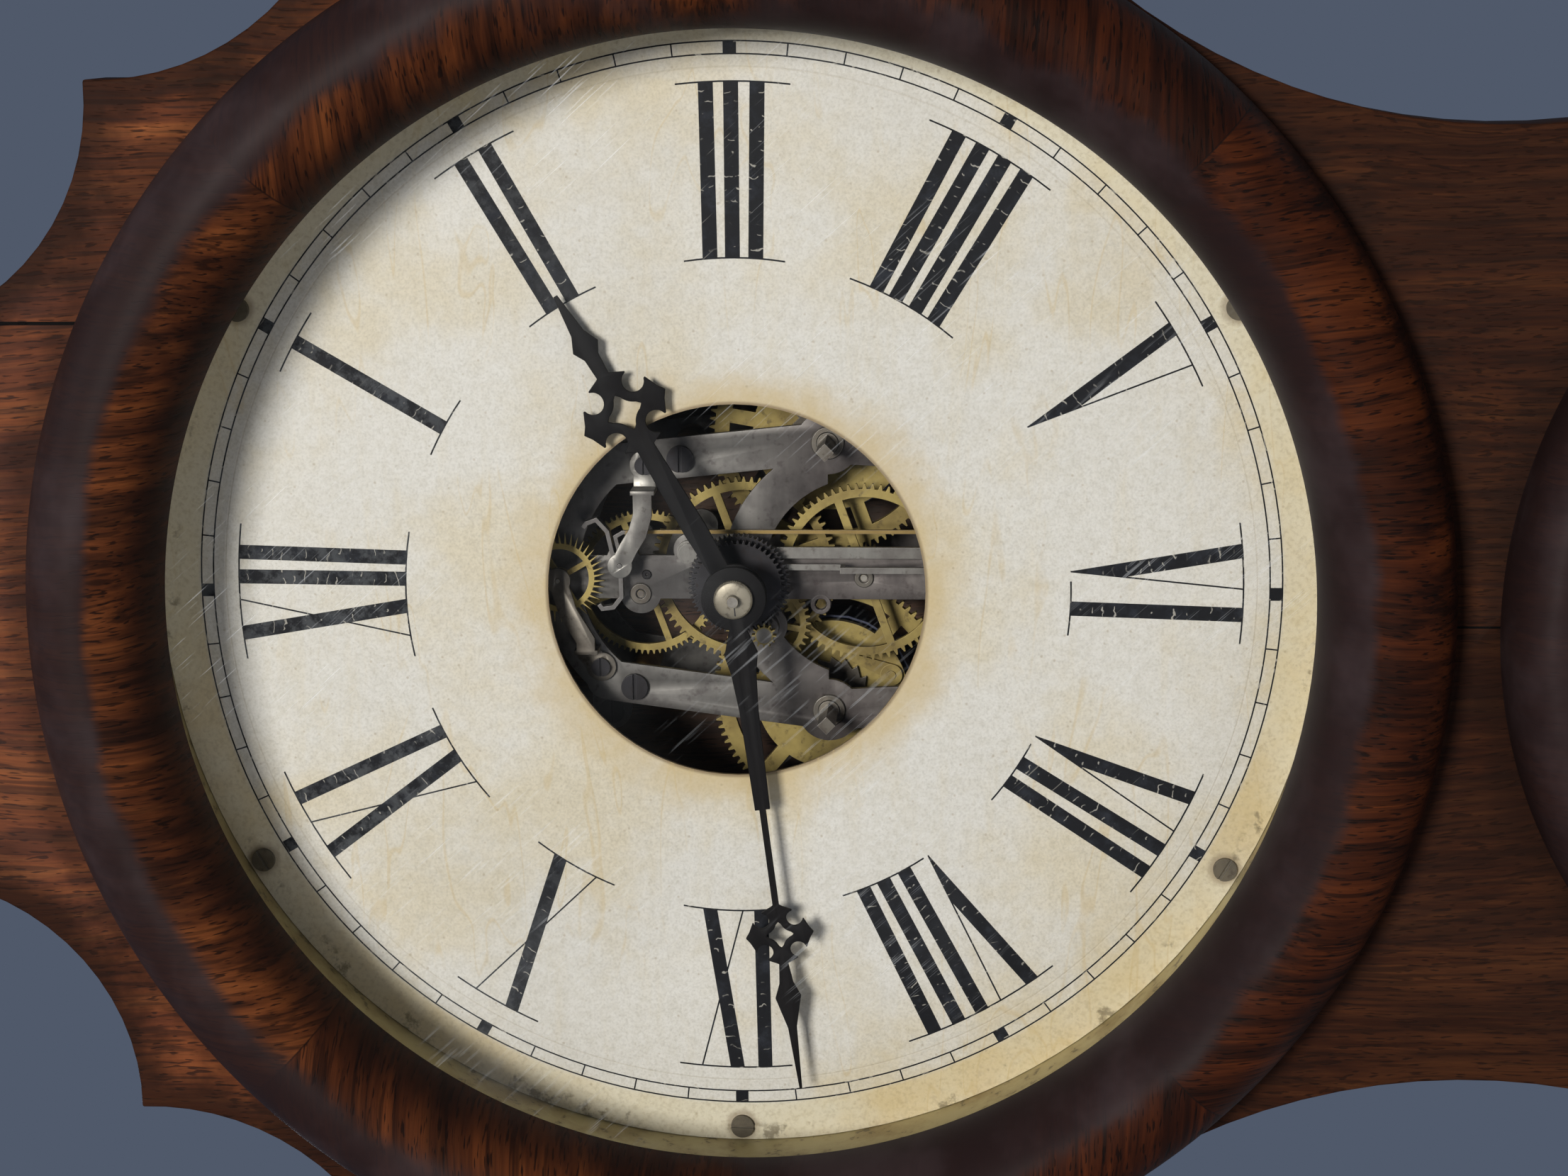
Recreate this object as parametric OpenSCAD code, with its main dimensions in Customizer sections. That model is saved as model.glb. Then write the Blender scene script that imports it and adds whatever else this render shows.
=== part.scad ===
// Double-dial calendar wall clock: a time dial above, a calendar dial below.
// Millimetres, +Z up. The origin is the centre of the hanging hole, on the wall (y = 0).
// The clock faces -Y and its right-hand side is +X.

/* [Case] */
// Height of the hanging hole above the centre of the time dial
hang_drop = 200; // [196:1:208]
// Distance between the centres of the two dials
dial_spacing = 322; // [319:1:328]
// Thickness of the back board
back_t = 10; // [8:0.5:14]
// Half width of the box behind the front panel
box_half_w = 112; // [108:1:116]
// Thickness of the sides and ends of the box
side_t = 8; // [7:0.5:9]
// Height of the box above the centre of the time dial
box_above = 150; // [146:1:156]
// Length of the box below the centre of the calendar dial
box_below = 122; // [119:1:128]
// Thickness of the front panel
panel_t = 19; // [17:0.5:21]
// Depth of the dials' face behind the face of the front panel
recess_d = 29; // [27:0.5:32]

/* [Outline of the front panel] */
// Half width across the ears beside the time dial
ear_half_w = 200; // [197:1:206]
// Height of the ears' upper points above the centre of the time dial
ear_top = 87; // [80:1:92]
// Depth of the ears' lower points below the centre of the time dial
ear_low = 55; // [50:1:60]
// Depth of the hollow in the ears' side edge
ear_hollow = 9; // [5:0.5:10]
// Half width across the two points above the time dial
cusp_half_w = 133.9; // [130:1:138]
// Height of those points above the centre of the time dial
cusp_up = 157; // [154:1:162]
// Half width across the points of the crest
crest_half_w = 71; // [66:1:76]
// Height of the crest's points above the centre of the time dial
crest_up = 220; // [217:1:226]
// Rise of the crest's middle above its points
crest_rise = 14; // [10:1:18]
// Radius of the hollow between the crest and the points below it
shoulder_r = 60.5; // [58:0.5:70]
// Radius of the hollow between those points and the ears
side_hollow_r = 66.5; // [65:0.5:72]
// Half width of the waist between the dials
waist_half_w = 121; // [119:0.5:124]
// Radius of the long hollow of the waist
waist_r = 155; // [150:1:160]
// Depth of the waist's middle below the centre of the time dial
waist_down = 190; // [186:1:194]
// Half width across the ears beside the calendar dial
low_ear_half_w = 150; // [148:0.5:154]
// Depth of those ears' lower points below the centre of the calendar dial
low_ear_down = 62; // [58:1:66]
// Depth of the hollow in those ears' side edge
low_ear_hollow = 5; // [3:0.5:5]
// Half width across the two points below the calendar dial
foot_half_w = 104; // [101:1:107]
// Depth of those points below the centre of the calendar dial
foot_down = 118; // [116:1:121]
// Radius of the hollow above those points
foot_r = 56; // [54:0.5:62]
// Half width of the flat foot of the panel
base_half_w = 45; // [40:1:50]
// Depth of the foot below the centre of the calendar dial
base_down = 173; // [168:1:178]
// Radius of the hollow beside the foot
base_r = 59; // [58:0.5:66]

/* [Dials] */
// Radius of the painted time dial
time_dial_r = 152.4; // [151:0.2:153.4]
// Radius of the painted calendar dial
cal_dial_r = 101.6; // [100.6:0.2:102.6]
// Thickness of the dials' sheet metal
dial_t = 1; // [0.8:0.1:1.2]
// Radius of the open centre of the time dial
dial_hole_r = 49.5; // [47:0.5:52]
// Radius of the hole for the date arbor
date_hole_r = 3; // [2.5:0.1:4]
// Thickness of the cream-painted bands round the dials
band_t = 0.6; // [0.4:0.1:0.8]
// Depth of the bands' front edge behind the bezels
band_gap = 1.8; // [1.4:0.1:2.4]
// Width of the ledge that a dial lies on
ledge_w = 11; // [10:0.5:12]
// Width of the wooden dial rings outside the bands
ring_w = 11; // [9:0.5:12]
// Depth of the wooden dial rings behind the dials
ring_back_t = 7.5; // [6:0.5:8]
// Distance of the dial screws from a dial's edge
screw_inset = 4; // [3.8:0.1:4.4]
// Radius of the dial screws' heads
dial_screw_head_r = 3.1; // [2.8:0.1:3.5]
// Number of screws in each dial
dial_screws_n = 6; // [4:1:8]
// Half width of the calendar's weekday and month windows
window_half_w = 14; // [12:0.5:15]
// Height of those windows
window_h = 11; // [9:0.5:13]

/* [Bezels] */
// Gap between a closed bezel and the front panel
bezel_gap = 0.3; // [0.2:0.1:0.5]
// Overlap of a bezel's lip over the edge of its dial
lip_over = 7.4; // [7:0.1:8]
// Width of the time bezel's moulding
time_bezel_w = 33.5; // [32:0.5:35]
// Height of the time bezel's crown above its lip
time_bezel_h = 23; // [20:0.5:26]
// Width of the time bezel's inner slope
time_slope_w = 17; // [15:0.5:19]
// Width of the calendar bezel's moulding
cal_bezel_w = 36; // [34:0.5:37]
// Height of the calendar bezel's crown above its lip
cal_bezel_h = 19; // [16:0.5:22]
// Width of the calendar bezel's inner slope
cal_slope_w = 25; // [23:0.5:26]
// Thickness of a bezel at its lip
lip_t = 1.5; // [1.2:0.1:2]
// Height of a bezel's straight outer edge
edge_h = 8; // [6:0.5:9]
// Thickness of the glass
glass_t = 2; // [1.8:0.1:2.4]
// Overlap of the glass behind a bezel's lip
glass_over = 5.4; // [5:0.1:5.6]
// Radius of a hinge's barrel
barrel_r = 2.4; // [2.2:0.1:2.8]
// Radius of a hinge's pin
hinge_pin_r = 1; // [0.8:0.1:1.2]
// Length of a hinge
hinge_l = 26; // [22:1:30]
// Height of a hinge above or below the centre of its dial
hinge_z = 42; // [40:1:46]
// Thickness of a hinge's leaves
leaf_t = 1.2; // [1:0.1:1.4]
// Width of the hinge leaf that is let into the panel
leaf_w = 8; // [7:0.5:8.5]

/* [Hanger] */
// Radius of the hanging hole
hang_hole_r = 4.5; // [3.5:0.1:5]
// Width of the hanger plate
hanger_w = 46; // [40:1:52]
// Thickness of the hanger plate
hanger_t = 2; // [1.8:0.1:2.5]
// Length of the hanger plate above and below the top of the back board
hanger_lap = 40; // [36:1:44]

/* [Movement frame] */
// Thickness of the movement's plates
plate_t = 1.6; // [1.4:0.1:2]
// Clear space between the movement's plates
plate_gap = 34; // [33.5:0.5:36]
// Gap between the back board and the movement
post_h = 6; // [5:0.5:8]
// Depth of the movement's front plate behind the face of the dials
dial_standoff = 19; // [18.8:0.1:20]
// Width of the plates' straps
strap_w = 11; // [10.5:0.5:12]
// Inner radius of the arch round the second wheel
arch_in_r = 27.1; // [26.5:0.1:28]
// Outer radius of that arch
arch_out_r = 38; // [36:0.5:40]
// Radius of the pillars between the plates
pillar_r = 4; // [3.5:0.1:4.5]
// Radius of the plate screws' heads
screw_head_r = 3.6; // [3.2:0.1:4]
// Height of the plate screws' heads
screw_head_h = 1.6; // [1.4:0.1:2]

/* [Wheel train] */
// Sideways distance of a winding arbor from the middle
great_x = 36.5; // [36.3:0.1:37.5]
// Depth of the winding arbors below the middle of the dial
great_down = 23.3; // [22.5:0.1:24]
// Depth of the second arbor below the middle
second_down = 32.8; // [32.4:0.1:33.2]
// Sideways place of the third arbor
third_x = -4.5; // [-4.7:0.1:-4.3]
// Height of the third arbor
third_up = 27.2; // [27:0.1:27.6]
// Sideways place of the escape arbor
escape_x = 0.5; // [0.2:0.1:0.8]
// Height of the escape arbor
escape_up = 48.5; // [48.3:0.1:49]
// Radius of the escape wheel over its points
escape_r = 12.2; // [11.8:0.1:12.2]
// Sideways place of the minute wheel's arbor
minute_x = -13.3; // [-13.6:0.1:-13]
// Depth of the minute wheel's arbor below the middle
minute_down = 6.7; // [6.4:0.1:7]
// Teeth of a great wheel
great_n = 90; // [88:1:92]
// Leaves of the second pinion
second_pinion_n = 15; // [14:1:16]
// Teeth of the second wheel
second_n = 68; // [66:1:69]
// Leaves of the centre pinion
centre_pinion_n = 26; // [25:1:28]
// Teeth of the centre wheel
centre_n = 72; // [70:1:74]
// Leaves of the third pinion
third_pinion_n = 8; // [8:1:9]
// Teeth of the third wheel
third_n = 76; // [74:1:78]
// Leaves of the escape pinion
escape_pinion_n = 8; // [8:1:9]
// Teeth of the escape wheel
escape_n = 42; // [36:1:44]
// Radius of the train's arbors
arbor_r = 1.6; // [1.4:0.1:1.8]
// Radius of the arbors' pivots
pivot_r = 0.9; // [0.7:0.05:1.1]
// Free play of a pivot in its hole, on the radius
pivot_fit = 0.05; // [0.03:0.01:0.08]
// Free play along an arbor at each end
end_shake = 0.3; // [0.2:0.1:0.4]
// Thickness of the great wheels
great_t = 2.4; // [2:0.1:2.6]
// Thickness of the other wheels
wheel_t = 1.5; // [1.2:0.1:1.6]
// Turns of a mainspring
spring_turns = 7; // [5:1:9]
// Outer radius of a mainspring
spring_r = 22; // [20:0.5:23]
// Thickness of the mainspring's strip
spring_t = 0.6; // [0.5:0.1:0.8]
// Radius of the ratchet wheels
ratchet_r = 11; // [10:0.5:11.5]
// Teeth of the ratchet wheels
ratchet_n = 18; // [14:1:20]
// Reach of the winding squares in front of the front plate
square_l = 17; // [14:0.5:17.5]
// Width of the winding squares
square_w = 3.4; // [3:0.1:3.8]

/* [Hands] */
// Length of the minute hand
minute_hand_l = 138; // [130:1:142]
// Length of the hour hand
hour_hand_l = 90; // [84:1:96]
// Thickness of the hands
hand_t = 1; // [0.8:0.1:1.2]
// Height of the hour hand's back above the dial
hour_hand_up = 4; // [3.6:0.1:4.4]
// Height of the minute hand's back above the dial
minute_hand_up = 7.8; // [7.4:0.1:8.4]
// Radius of the collar round the centre
collar_r = 8.4; // [7.5:0.1:9]
// Radius of the hand nut
hand_nut_r = 5.1; // [4.6:0.1:5.6]
// Length of the date hand
date_hand_l = 72; // [68:1:74]

/* [Pendulum] */
// Sideways place of the pendulum
pendulum_x = 7.5; // [7.2:0.1:8]
// Height of the pendulum's pivot above the middle
pendulum_up = 13.7; // [13:0.1:14.4]
// Distance from the pivot to the middle of the bob
pendulum_l = 249.7; // [246:0.5:252]
// Radius of the bob
bob_r = 28; // [25:0.5:29]
// Thickness of the bob
bob_t = 8; // [7:0.2:8]
// Width of the pendulum rod
rod_w = 3; // [2.6:0.1:3.2]
// Thickness of the pendulum rod
rod_t = 1.4; // [1.2:0.1:1.5]
// Sideways place of the verge's pivot
verge_x = 4.6; // [4.4:0.1:4.8]
// Height of the verge's pivot
verge_up = 31.8; // [31.6:0.1:32]
// Depth of the crutch's fork below the middle
fork_down = 84; // [80:1:90]

/* [Calendar works] */
// Teeth of the date wheel, one for each day
date_n = 31; // [31:1:31]
// Radius of the date wheel
date_wheel_r = 24; // [22:0.5:24.5]
// Radius of the weekday and month rollers
roller_r = 15; // [14:0.5:15.5]
// Distance of a roller's inner end from the middle
roller_in = 29; // [28.5:0.5:30]
// Length of the rollers
roller_l = 32; // [30:0.5:33]
// Height that the calendar rod is lifted each day
rod_lift = 8; // [6:0.5:9]
// Radius of the calendar rod
cal_rod_r = 0.8; // [0.7:0.05:0.9]

/* [Hidden] */
$fn = 96;

// Heights of the dial centres
time_z = -hang_drop;
cal_z = time_z - dial_spacing;
box_top = time_z + box_above;
box_low = cal_z - box_below;

// Depths, from the wall towards the viewer
board_y = -back_t;
back_plate_y = board_y - post_h;
back_in_y = back_plate_y - plate_t;
front_in_y = back_in_y - plate_gap;
front_plate_y = front_in_y - plate_t;
dial_y = front_plate_y - dial_standoff;
dial_back_y = dial_y + dial_t;
panel_y = dial_y - recess_d;
panel_back_y = panel_y + panel_t;
bezel_y = panel_y - bezel_gap;
ring_back_y = dial_back_y + ring_back_t;

// Radii round the dials
band_fit = 0.2;
lining_gap = 0.1;
time_band_r = time_dial_r + band_fit;
cal_band_r = cal_dial_r + band_fit;
time_open_r = time_band_r + band_t + lining_gap;
cal_open_r = cal_band_r + band_t + lining_gap;
time_lip_r = time_dial_r - lip_over;
cal_lip_r = cal_dial_r - lip_over;
time_bezel_r = time_lip_r + time_bezel_w;
cal_bezel_r = cal_lip_r + cal_bezel_w;

// Places of the arbors, sideways and up from the centre of the time dial
second_at = [0, -second_down];
third_at = [third_x, third_up];
escape_at = [escape_x, escape_up];
minute_at = [minute_x, -minute_down];
verge_at = [verge_x, verge_up];
pendulum_at = [pendulum_x, pendulum_up];
function great_at(side) = [side * great_x, -great_down];

// Sizes of the gears, from their centre distances
function span(a, b) = norm(b - a);
function bearing(a, b) = atan2(b[1] - a[1], b[0] - a[0]);
function mesh_module(a, b, n1, n2) = 2 * span(a, b) / (n1 + n2);
great_m = mesh_module(great_at(1), second_at, great_n, second_pinion_n);
second_m = mesh_module(second_at, [0, 0], second_n, centre_pinion_n);
centre_m = mesh_module([0, 0], third_at, centre_n, third_pinion_n);
third_m = mesh_module(third_at, escape_at, third_n, escape_pinion_n);
cannon_n = 12;
minute_n = 36;
minute_pinion_n = 12;
hour_n = 48;
day_pinion_n = 8;
day_n = 64;
cannon_m = mesh_module([0, 0], minute_at, cannon_n, minute_n);
hour_m = mesh_module([0, 0], minute_at, hour_n, minute_pinion_n);
day_m = mesh_module([0, 0], minute_at, day_n, day_pinion_n);

// Angle that puts a gap of the second gear against a tooth of the first
function in_mesh(a, b, n1, turn1, n2) =
    bearing(a, b) + 180 - 360 / n2 * (0.5 - (bearing(a, b) - turn1) * n1 / 360);

// Depth of each wheel's front face behind the front plate's inner face
minute_layer = 1.4;
second_layer = 5.4;
centre_layer = 9.9;
third_layer = 13.2;
click_layer = 13.9;
great_layer = 15.4;
spring_layer = 18.9;
pinion_over = 0.7;

// Depth of each piece's back face in front of the front plate
rod_layer = 2.6;
verge_layer = 1.8;
escape_layer = 2.8;
bridge_layer = 7;
bridge_t = 1.2;
day_layer = 7.3;
hour_layer = 10.2;
cannon_r = 2.2;
hour_pipe_r = 3.3;
cannon_fit = 0.05;

module shift(at) { translate([at[0], 0, at[1]]) children(); }

// Stands a drawing up in the X-Z plane, from y = back towards the viewer
module stand(back, t) {
    translate([0, back, 0]) rotate([90, 0, 0]) linear_extrude(height = t) children();
}

module rod(r, back, front, sides = 48) {
    translate([0, back, 0]) rotate([90, 0, 0]) cylinder(r = r, h = back - front, $fn = sides);
}

module tube(r_out, r_in, back, front, sides = 96) {
    difference() {
        rod(r_out, back, front, sides);
        rod(r_in, back + 1, front - 1, sides);
    }
}

module at_time() { translate([0, 0, time_z]) children(); }
module at_calendar() { translate([0, 0, cal_z]) children(); }

// A flat bar between two points, with round ends a little narrower than the bar
module bar(a, b, w) {
    end_r = w / 2 - min(0.15, w / 8);
    translate(a) rotate(bearing(a, b)) translate([0, -w / 2]) square([span(a, b), w]);
    translate(a) circle(r = end_r, $fn = 32);
    translate(b) circle(r = end_r, $fn = 32);
}

// A strip of even width along a bent line, with square ends
function unit(v) = v / norm(v);
function across(v) = [-v[1], v[0]];
function strip_side(points, offset) = [
    for (i = [0:len(points) - 1]) let (
        before = unit(points[max(i, 1)] - points[max(i, 1) - 1]),
        after = unit(points[min(i + 1, len(points) - 1)] - points[min(i + 1, len(points) - 1) - 1]),
        middle = unit(across(before) + across(after))
    ) points[i] + middle * offset / (middle * across(before))
];
module ribbon(points, w) {
    far = strip_side(points, -w / 2);
    polygon(concat(strip_side(points, w / 2), [for (i = [len(far) - 1:-1:0]) far[i]]));
}

// Outline of a toothed wheel: straight-sided teeth, each with a root and a tip width as shares of the pitch
function teeth(n, r, up, down, root_w, tip_w, turn) = [
    for (i = [0:n - 1]) let (c = turn + i * 360 / n, p = 360 / n)
        each [
            for (k = [[-root_w, -down], [-tip_w, up], [tip_w, up], [root_w, -down]])
                [(r + k[1]) * cos(c + k[0] * p), (r + k[1]) * sin(c + k[0] * p)]
        ]
];

module wheel_teeth(n, m, turn) { polygon(teeth(n, n * m / 2, 0.85 * m, 1.25 * m, 0.27, 0.085, turn)); }
module pinion_teeth(n, m, turn) { polygon(teeth(n, n * m / 2, 0.55 * m, 1.15 * m, 0.17, 0.1, turn)); }

// A crossed-out wheel: rim, hub and arms
module crossed_wheel(n, m, turn, rim_w, hub_r, arms, arm_w) {
    rim_r = n * m / 2 - 1.25 * m - rim_w;
    difference() {
        wheel_teeth(n, m, turn);
        circle(r = rim_r);
    }
    circle(r = hub_r, $fn = 48);
    for (i = [0:arms - 1]) rotate(i * 360 / arms + 20) translate([0, -arm_w / 2]) square([rim_r + rim_w / 2, arm_w]);
}

// Arbor between the plates, with a pivot through each plate
module train_arbor(r) {
    rod(r, back_in_y - end_shake, front_in_y + end_shake);
    rod(pivot_r, back_plate_y + end_shake, front_plate_y - end_shake);
}

module pivot_hole(at) { shift(at) rod(pivot_r + pivot_fit, 1, dial_y); }

// Case

module box_outline() {
    translate([-box_half_w, box_low]) square([2 * box_half_w, box_top - box_low]);
}

module ring_cuts() {
    gap = 0.3;
    at_time() rod(time_open_r + ring_w + gap, ring_back_y, panel_back_y - 1, 96);
    at_calendar() rod(cal_open_r + ring_w + gap, ring_back_y, panel_back_y - 1, 96);
}

hanger_screw_z = [box_top - 9, box_top - 28];
hanger_screw_x = 14;
wood_screw_r = 1.8;
wood_screw_l = 8;
post_x = 46;
post_high = 40;
post_low = -66;
cal_post_x = 58;
cal_post_z = 16;
cal_plate_y = board_y - 24.4;
module at_hanger_screws() {
    for (x = [-hanger_screw_x, hanger_screw_x], z = hanger_screw_z) translate([x, 0, z]) children();
}
module at_movement_posts() {
    for (x = [-post_x, post_x], z = [post_low, post_high]) translate([x, 0, time_z + z]) children();
}
module at_calendar_posts() {
    for (x = [-cal_post_x, cal_post_x], z = [-cal_post_z, cal_post_z]) translate([x, 0, cal_z + z]) children();
}

module back_board() {
    color("saddlebrown") difference() {
        stand(0, back_t) box_outline();
        translate([-hanger_w / 2, -hanger_t, box_top - hanger_lap]) cube([hanger_w, hanger_t + 1, hanger_lap + 1]);
        at_hanger_screws() rod(wood_screw_r, 0, -wood_screw_l - hanger_t);
        at_movement_posts() rod(wood_screw_r, board_y + wood_screw_l, board_y - 1);
        at_calendar_posts() rod(wood_screw_r, board_y + wood_screw_l, board_y - 1);
    }
}

module box_sides() {
    color("saddlebrown") difference() {
        for (side = [-1, 1]) translate([side * (box_half_w - side_t / 2) - side_t / 2, panel_back_y, box_low])
            cube([side_t, board_y - panel_back_y, box_top - box_low]);
        ring_cuts();
    }
}

module box_ends() {
    inner = box_half_w - side_t;
    color("saddlebrown") difference() {
        for (z = [box_low, box_top - side_t]) translate([-inner, panel_back_y, z])
            cube([2 * inner, board_y - panel_back_y, side_t]);
        ring_cuts();
    }
}

// Scalloped outline: a plain polygon that reaches past every point, with round hollows cut out of both sides
module hollow(at, r) {
    for (side = [-1, 1]) translate([side * at[0], at[1]]) circle(r = r, $fn = 180);
}

module panel_outline() {
    past = 7;
    low_dz = dial_spacing + low_ear_down;
    low_ear_top = -waist_down - sqrt(pow(waist_r, 2) - pow(waist_half_w + waist_r - low_ear_half_w, 2));
    foot_z = -dial_spacing - foot_down;
    base_z = -dial_spacing - base_down;
    crest_top = crest_up + crest_rise;
    crest_r = (pow(crest_half_w, 2) + pow(crest_rise, 2)) / (2 * crest_rise);
    right = [
        [crest_half_w + past, crest_top + past], [cusp_half_w + past, cusp_up + past],
        [ear_half_w + past, ear_top + past], [ear_half_w + past, -ear_low - past],
        [waist_half_w + past, -waist_down], [low_ear_half_w + past, low_ear_top + past],
        [low_ear_half_w + past, -low_dz - past], [foot_half_w + past, foot_z - past], [base_half_w + past, base_z]
    ];
    difference() {
        polygon(concat(right, [for (i = [len(right) - 1:-1:0]) [-right[i][0], right[i][1]]]));
        difference() {
            translate([-crest_half_w - 2 * past, crest_up - past]) square([2 * crest_half_w + 4 * past, 60]);
            translate([0, crest_top - crest_r]) circle(r = crest_r, $fn = 180);
        }
        hollow(shoulder_at, shoulder_r);
        hollow(side_hollow_at, side_hollow_r);
        edge_hollow(ear_half_w, ear_top, -ear_low, ear_hollow);
        hollow([waist_half_w + waist_r, -waist_down], waist_r);
        edge_hollow(low_ear_half_w, low_ear_top, -low_dz, low_ear_hollow);
        hollow(foot_at, foot_r);
        hollow(base_at, base_r);
    }
}

// Shallow hollow of a given depth between two points at the same half width
module edge_hollow(half_w, top, low, depth) {
    half = (top - low) / 2;
    r = (pow(half, 2) + pow(depth, 2)) / (2 * depth);
    hollow([half_w - depth + r, (top + low) / 2], r);
}

// Centre of a circle of radius r through two points that follow each other clockwise, outside the panel
function hollow_at(a, b, r) = let (
        mid = (a + b) / 2, half = span(a, b) / 2,
        away = [-(b[1] - a[1]), b[0] - a[0]] / span(a, b)
    ) mid + away * sqrt(r * r - half * half);
shoulder_at = hollow_at([crest_half_w, crest_up], [cusp_half_w, cusp_up], shoulder_r);
side_hollow_at = hollow_at([cusp_half_w, cusp_up], [ear_half_w, ear_top], side_hollow_r);
foot_at = hollow_at([low_ear_half_w, -dial_spacing - low_ear_down], [foot_half_w, -dial_spacing - foot_down], foot_r);
base_at = hollow_at([foot_half_w, -dial_spacing - foot_down], [base_half_w, -dial_spacing - base_down], base_r);

module hinge_pocket(axis_x) {
    for (z = [-hinge_z, hinge_z]) translate([axis_x, panel_y - 1, z - hinge_l / 2])
        cube([leaf_w, leaf_t + 1, hinge_l]);
}

clip_w = 10;
clip_t = 0.8;
clip_l = 12;
module front_panel() {
    color("sienna") difference() {
        at_time() stand(panel_back_y, panel_t) panel_outline();
        at_time() rod(time_open_r, panel_back_y + 1, panel_y - 1, 180);
        at_calendar() rod(cal_open_r, panel_back_y + 1, panel_y - 1, 180);
        at_time() hinge_pocket(time_axis_x);
        at_calendar() hinge_pocket(cal_axis_x);
        at_time() clip_pocket(time_clip_x);
        at_calendar() clip_pocket(cal_clip_x);
    }
}

module hanger_plate() {
    above = 13;
    neck_w = 26;
    color("darkgoldenrod") difference() {
        stand(0, hanger_t) {
            translate([-hanger_w / 2, box_top - hanger_lap]) square([hanger_w, hanger_lap + above]);
            bar([0, box_top], [0, 0], neck_w);
        }
        rod(hang_hole_r, 1, -hanger_t - 1);
        at_hanger_screws() rod(wood_screw_r + pivot_fit, 1, -hanger_t - 1);
        at_hanger_screws() rod(screw_head_r, 1, -hanger_t / 2);
    }
}

module slotted_head(r, h, back) {
    slot_w = r / 4;
    difference() {
        rod(r, back, back - h, 32);
        translate([-r, back - h - 1, -slot_w / 2]) cube([2 * r, h / 2 + 1, slot_w]);
    }
}

module case_screws() {
    shank_r = wood_screw_r - 0.1;
    color("dimgray") {
        at_hanger_screws() {
            difference() {
                rod(screw_head_r - 0.1, 0, -hanger_t / 2, 32);
                translate([-5, -hanger_t / 4, -0.4]) cube([10, hanger_t, 0.8]);
            }
            rod(shank_r, -hanger_t / 2, -wood_screw_l - 1, 24);
        }
        at_movement_posts() {
            slotted_head(screw_head_r, screw_head_h, back_in_y);
            rod(shank_r, board_y + wood_screw_l - 1, back_in_y, 24);
        }
        at_calendar_posts() {
            slotted_head(screw_head_r, screw_head_h, cal_plate_y - plate_t);
            rod(shank_r, board_y + wood_screw_l - 1, cal_plate_y - plate_t, 24);
        }
    }
}

module dial_ring(dial_r, open_r) {
    depth = ring_back_y - panel_back_y;
    difference() {
        translate([0, ring_back_y, 0]) rotate([90, 0, 0]) rotate_extrude($fn = 180) polygon([
            [dial_r - ledge_w, 0], [open_r + ring_w, 0], [open_r + ring_w, depth],
            [open_r, depth], [open_r, ring_back_t], [dial_r - ledge_w, ring_back_t]
        ]);
        at_dial_screws(dial_r) rod(dial_screw_head_r / 2, ring_back_y + 1, dial_y - 1, 24);
    }
}

module at_dial_screws(dial_r) {
    for (i = [0:dial_screws_n - 1]) rotate([0, 30 + i * 360 / dial_screws_n, 0])
        translate([0, 0, dial_r - screw_inset]) children();
}

module dial_rings() {
    color("peru") {
        at_time() dial_ring(time_dial_r, time_open_r);
        at_calendar() dial_ring(cal_dial_r, cal_open_r);
    }
}

module dial_bands() {
    color("khaki") {
        at_time() tube(time_band_r + band_t, time_band_r, dial_back_y, panel_y + band_gap, 180);
        at_calendar() tube(cal_band_r + band_t, cal_band_r, dial_back_y, panel_y + band_gap, 180);
    }
}

module time_dial() {
    color("ivory") at_time() difference() {
        tube(time_dial_r, dial_hole_r, dial_back_y, dial_y, 180);
        at_dial_screws(time_dial_r) rod(dial_screw_head_r / 2 + 0.1, 0, dial_y - 1, 24);
    }
}

module calendar_dial() {
    color("ivory") at_calendar() difference() {
        rod(cal_dial_r, dial_back_y, dial_y, 180);
        rod(date_hole_r, 0, dial_y - 1);
        for (side = [-1, 1]) translate([side * (roller_in + roller_l / 2) - window_half_w, dial_y - 1, -window_h / 2])
            cube([2 * window_half_w, dial_t + 2, window_h]);
        at_dial_screws(cal_dial_r) rod(dial_screw_head_r / 2 + 0.1, 0, dial_y - 1, 24);
    }
}

module dial_screw() {
    head_h = 1.2;
    slotted_head(dial_screw_head_r, head_h, dial_y);
    rod(dial_screw_head_r / 2 - 0.05, ring_back_y - 1, dial_y, 24);
}

module dial_screws() {
    color("dimgray") {
        at_time() at_dial_screws(time_dial_r) dial_screw();
        at_calendar() at_dial_screws(cal_dial_r) dial_screw();
    }
}

// Bezels: a rounded wooden moulding with the glass puttied behind its lip

function moulding(lip_r, w, h, slope_w) = concat(
    [[lip_r, 0]],
    [for (a = [0:10:90]) [lip_r + slope_w - slope_w * cos(a), lip_t + h * sin(a)]],
    [for (a = [80:-10:0]) [lip_r + slope_w + (w - slope_w) * cos(a), edge_h + (lip_t + h - edge_h) * sin(a)]],
    [[lip_r + w, 0]]
);

module bezel_ring(lip_r, w, h, slope_w, axis_x, stud_x) {
    difference() {
        translate([0, bezel_y, 0]) rotate([90, 0, 0]) rotate_extrude($fn = 180) polygon(moulding(lip_r, w, h, slope_w));
        for (z = [-hinge_z, hinge_z]) translate([lip_r, bezel_y - leaf_t, z - hinge_l / 2])
            cube([axis_x - lip_r, leaf_t + 1, hinge_l]);
        translate([stud_x, 0, 0]) rod(stud_r, 0, bezel_y - stud_seat, 24);
    }
}

module glass(lip_r) { rod(lip_r + glass_over, bezel_y + glass_t, bezel_y, 180); }

module putty(lip_r) {
    edge = lip_r + glass_over + 0.1;
    translate([0, bezel_y, 0]) rotate([90, 0, 0]) rotate_extrude($fn = 180) polygon([
        [edge, 0], [edge + 1.3, 0], [edge + 1, -glass_t - 1.6], [edge - 3.4, -glass_t], [edge, -glass_t]
    ]);
}

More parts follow.
